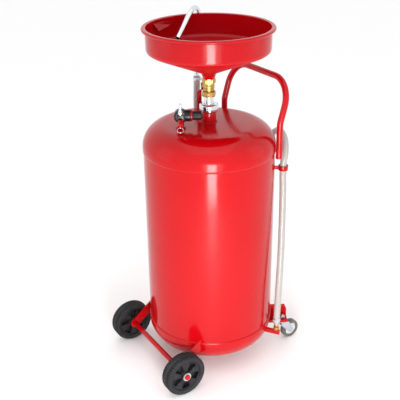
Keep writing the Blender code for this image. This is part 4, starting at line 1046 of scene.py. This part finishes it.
tyre_profile = np.vstack([tyre_profile[:split_at], np.stack([np.full(TREAD_ROWS, WHEEL_R), crown_rows], axis=1),
                          tyre_profile[split_at:]])
apart = np.linalg.norm(np.diff(tyre_profile, axis=0), axis=1) > 1e-5
tyre_profile = tyre_profile[np.concatenate([[True], apart])]

# The tyre is its profile turned about its axle, less the tread's depth in the grooves: blocks that alternate
# from one shoulder to the other, and two round grooves.
turn = np.arange(432) / 432 * math.tau
across = tyre_profile[:, 1:]
wide = np.clip((tyre_profile[:, :1] - TREAD_STARTS) / 0.0016, 0, 1)
shoulder = wide * np.clip((np.abs(across) - BLOCK_STARTS) / 0.0015, 0, 1)
phase = turn * TREAD_BLOCKS + np.sign(across) * math.pi / 2
groove = np.clip((np.cos(phase) - 0.25) / 0.25, 0, 1) * shoulder
round_groove = wide * np.clip(1 - np.abs(np.abs(across) - GROOVE_AT) / GROOVE_HALF, 0, 1)
reach = tyre_profile[:, :1] - TREAD_DEPTH * np.maximum(groove, round_groove)
level = np.broadcast_to(across, reach.shape)
tyre_grid = np.stack([reach * np.cos(turn), reach * np.sin(turn), level], axis=-1)

# The centre is a hub, five spokes that widen outwards over a thin web, and a rim: its height above the middle
# plane is the web's, plus the spoke's rise where a spoke, the hub or the rim stands.
SPOKES = 5
SPOKE_HALF = 0.0072        # half a spoke's width at the hub
SPOKE_RISE = 0.0130
WEB_HALF = 0.0020
HUB_R = 0.0190
RIM_STARTS = 0.0438
STEP_RUN = 0.0012          # over which the level falls from hub or rim to web
CENTRE_R = 0.0497
CENTRE_STEPS = 240
wheel_plastic = moulded("wheel_plastic", (0.005, 0.005, 0.006), (0.016, 0.017, 0.019), 0.36, 700.0, 0.0002)
face = np.linspace(0.0155, 0.0462, 26)[:, None]
turn = np.arange(CENTRE_STEPS) / CENTRE_STEPS * math.tau
fan = np.abs(np.mod(turn * SPOKES / math.tau, 1.0) - 0.5) * math.tau / SPOKES
spoke_half = SPOKE_HALF / face + 0.14 * np.clip((face - 0.020) / 0.02, 0, 1)
raised = np.clip((spoke_half - fan) / 0.05 + 0.5, 0, 1)
raised = np.maximum(raised, np.clip((HUB_R - face) / STEP_RUN, 0, 1))
raised = np.maximum(raised, np.clip((face - RIM_STARTS) / STEP_RUN, 0, 1))
level = WEB_HALF + SPOKE_RISE * raised
hub_front = np.array([(0.0083, -0.0206), (0.0083, 0.0204), (0.0088, 0.0208), (0.0140, 0.0208),
                      (0.0148, 0.0202)])
hub_back = np.array([(0.0148, -0.0202), (0.0140, -0.0208), (0.0088, -0.0208)])
lip = np.array([(0.0470, 0.0160), (0.0492, 0.0160), (CENTRE_R, 0.0155), (CENTRE_R, -0.0155), (0.0492, -0.0160),
                (0.0470, -0.0160)])
reach = np.concatenate([hub_front[:, :1], face, lip[:, :1], face[::-1], hub_back[:, :1]])
height = np.concatenate([np.broadcast_to(hub_front[:, 1:], (5, CENTRE_STEPS)), level,
                         np.broadcast_to(lip[:, 1:], (6, CENTRE_STEPS)), -level[::-1],
                         np.broadcast_to(hub_back[:, 1:], (3, CENTRE_STEPS))])
centre_grid = np.stack([reach * np.cos(turn), reach * np.sin(turn), height], axis=-1)

washer_in = WHEEL_W / 2 + 0.0003
washer_out = washer_in + 0.0015
for side, tag in ((-1, "left"), (1, "right")):
    facing_out = Matrix.Rotation(math.radians(90 * side), 4, "Y")
    axle_at = Matrix.Translation((WHEEL_X * side, WHEEL_Y, WHEEL_R)) @ facing_out
    tyre = skin("tyre_rubber_" + tag, placed(tyre_grid, axle_at), loop_rows=True)
    fitted(tyre, "wheel_" + tag, "tyre_" + tag, rubber)
    centre = skin("wheel_centre_" + tag, placed(centre_grid, axle_at), loop_rows=True)
    fitted(centre, "wheel_" + tag, "wheel_rim_" + tag, wheel_plastic)
    washer = lathed("washer_" + tag, [(0.0083, washer_in), (0.0135, washer_in), (0.0135, washer_out),
                                      (0.0083, washer_out)], 0.0004, 64, axle_at)
    fitted(washer, "tank", "axle_washer_" + tag, zinc)
    repainted("wheel_bracket_" + tag, tank_enamel)

AXLE_R = 0.0080
axle_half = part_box("axle_rod")[1][0]
axle = lathed("axle_bar", [(0.0, -axle_half + 0.002), (0.0025, -axle_half), (AXLE_R, -axle_half),
                           (AXLE_R, axle_half), (0.0025, axle_half), (0.0, axle_half - 0.002)], 0.0012, 48,
              Matrix.Translation((0, WHEEL_Y, WHEEL_R)) @ side_on)
fitted(axle, "tank", "axle_rod", tank_enamel)


# ================================================================ casters
# Two swivel casters on folded red brackets: zinc-plated pressed fork, bearing cup and bolt, grey rubber wheel on
# a pale nylon hub.
CASTER_X = 0.118
CASTER_Y = 0.213
CASTER_R = 0.0315
CASTER_TRAIL = 0.0315
caster_rubber = moulded("caster_rubber", (0.105, 0.098, 0.090), (0.160, 0.150, 0.138), 0.60, 600.0, 0.0002)
nylon = moulded("nylon", (0.74, 0.73, 0.69), (0.60, 0.58, 0.53), 0.42, 500.0, 0.0002)
CHEEK_SHEET = 0.0020
fork_side = eased([(-0.0140, 0.0712), (-0.0140, 0.0640), (0.0230, 0.0235), (0.0290, 0.0215), (0.0370, 0.0235),
                   (0.0395, 0.0300), (0.0370, 0.0400), (0.0150, 0.0712)], 0.004, steps=6)


def pressed_plate(name, outline, low, high, place):
    """A pressed plate of this outline: rings shrink towards its middle as (1 - s) outline + s middle, which
    closes both faces, and the outline itself joins them."""
    middle = outline.mean(axis=0)
    inward = np.array([1.0, 0.04, 0.0, 0.0, 0.04, 1.0])
    levels = np.array([low, low, low + (high - low) * 0.2, high - (high - low) * 0.2, high, high])
    flat = outline[None] * (1 - inward[:, None, None]) + middle * inward[:, None, None]
    grid = np.concatenate([np.broadcast_to(levels[:, None, None], (6, len(outline), 1)), flat], axis=-1)
    return skin(name, placed(grid, place))


for side, tag in ((-1, "left"), (1, "right")):
    stem_at = Matrix.Translation((CASTER_X * side, CASTER_Y, 0))
    roll_at = stem_at @ Matrix.Translation((0, CASTER_TRAIL, CASTER_R)) @ side_on
    crown = lathed("caster_crown_" + tag, [(0.0, 0.0700), (0.0150, 0.0700), (0.0160, 0.0712),
                                           (0.0160, 0.0739), (0.0, 0.0739)], 0.0008, 56, stem_at)
    fitted(crown, "caster_swivel_" + tag, "caster_fork_" + tag, zinc)
    for number, low in enumerate((-0.0150, 0.0130)):
        cheek = pressed_plate("caster_cheek_%s_%d" % (tag, number), fork_side, low, low + CHEEK_SHEET, stem_at)
        dressed(cheek, "caster_swivel_" + tag, zinc)
    bolt = lathed("caster_bolt_bar_" + tag, [
        (0.0, -0.0190), (0.0060, -0.0190), (0.0060, -0.0153), (0.0040, -0.0153), (0.0040, 0.0153),
        (0.0060, 0.0153), (0.0060, 0.0190), (0.0, 0.0190)], 0.0009, 36, roll_at)
    fitted(bolt, "caster_swivel_" + tag, "caster_bolt_" + tag, zinc)
    tread = lathed("caster_tread_" + tag, [
        (0.0215, -0.0110), (0.0285, -0.0110), (CASTER_R, -0.0080), (CASTER_R, 0.0080), (0.0285, 0.0110),
        (0.0215, 0.0110)], 0.0022, 72, roll_at, ease=6)
    fitted(tread, "caster_wheel_" + tag, "caster_tyre_" + tag, caster_rubber)
    hub = lathed("caster_hub_body_" + tag, [
        (0.0043, -0.0125), (0.0085, -0.0125), (0.0085, -0.0070), (0.0212, -0.0070), (0.0212, 0.0070),
        (0.0085, 0.0070), (0.0085, 0.0125), (0.0043, 0.0125)], 0.0008, 56, roll_at)
    fitted(hub, "caster_wheel_" + tag, "caster_hub_" + tag, nylon)
    cup = lathed("caster_bearing_cup_" + tag, [
        (0.0, 0.0742), (0.0150, 0.0742), (0.0165, 0.0757), (0.0165, 0.0782), (0.0150, 0.0797), (0.0050, 0.0797),
        (0.0050, 0.0950), (0.0042, 0.0960), (0.0, 0.0960)], 0.0007, 48, stem_at)
    fitted(cup, "tank", "caster_stem_" + tag, zinc)
    caster_nut = nut("caster_hexagon_" + tag, 0.0165, 0.0053, 0.0833, 0.0910, stem_at, chamfer=0.0009)
    fitted(caster_nut, "tank", "caster_nut_" + tag, zinc)
    repainted("caster_bracket_" + tag, tank_enamel)


# ================================================================ inner pieces
# Pieces inside the neck and the valve: nylon sleeve and seats, rubber seal, zinc stop ring, chromed ball.
seal_rubber = moulded("seal_rubber", (0.018, 0.018, 0.019), (0.034, 0.033, 0.032), 0.55, 900.0, 0.0001)
for node, slot, material in (("guide_sleeve", "nylon", nylon), ("valve_seat_lower", "nylon", nylon),
                             ("valve_seat_upper", "nylon", nylon), ("neck_seal", "seal_rubber", seal_rubber),
                             ("tube_stop", "zinc", zinc), ("valve_ball", "chrome", chrome)):
    repainted(node, material)
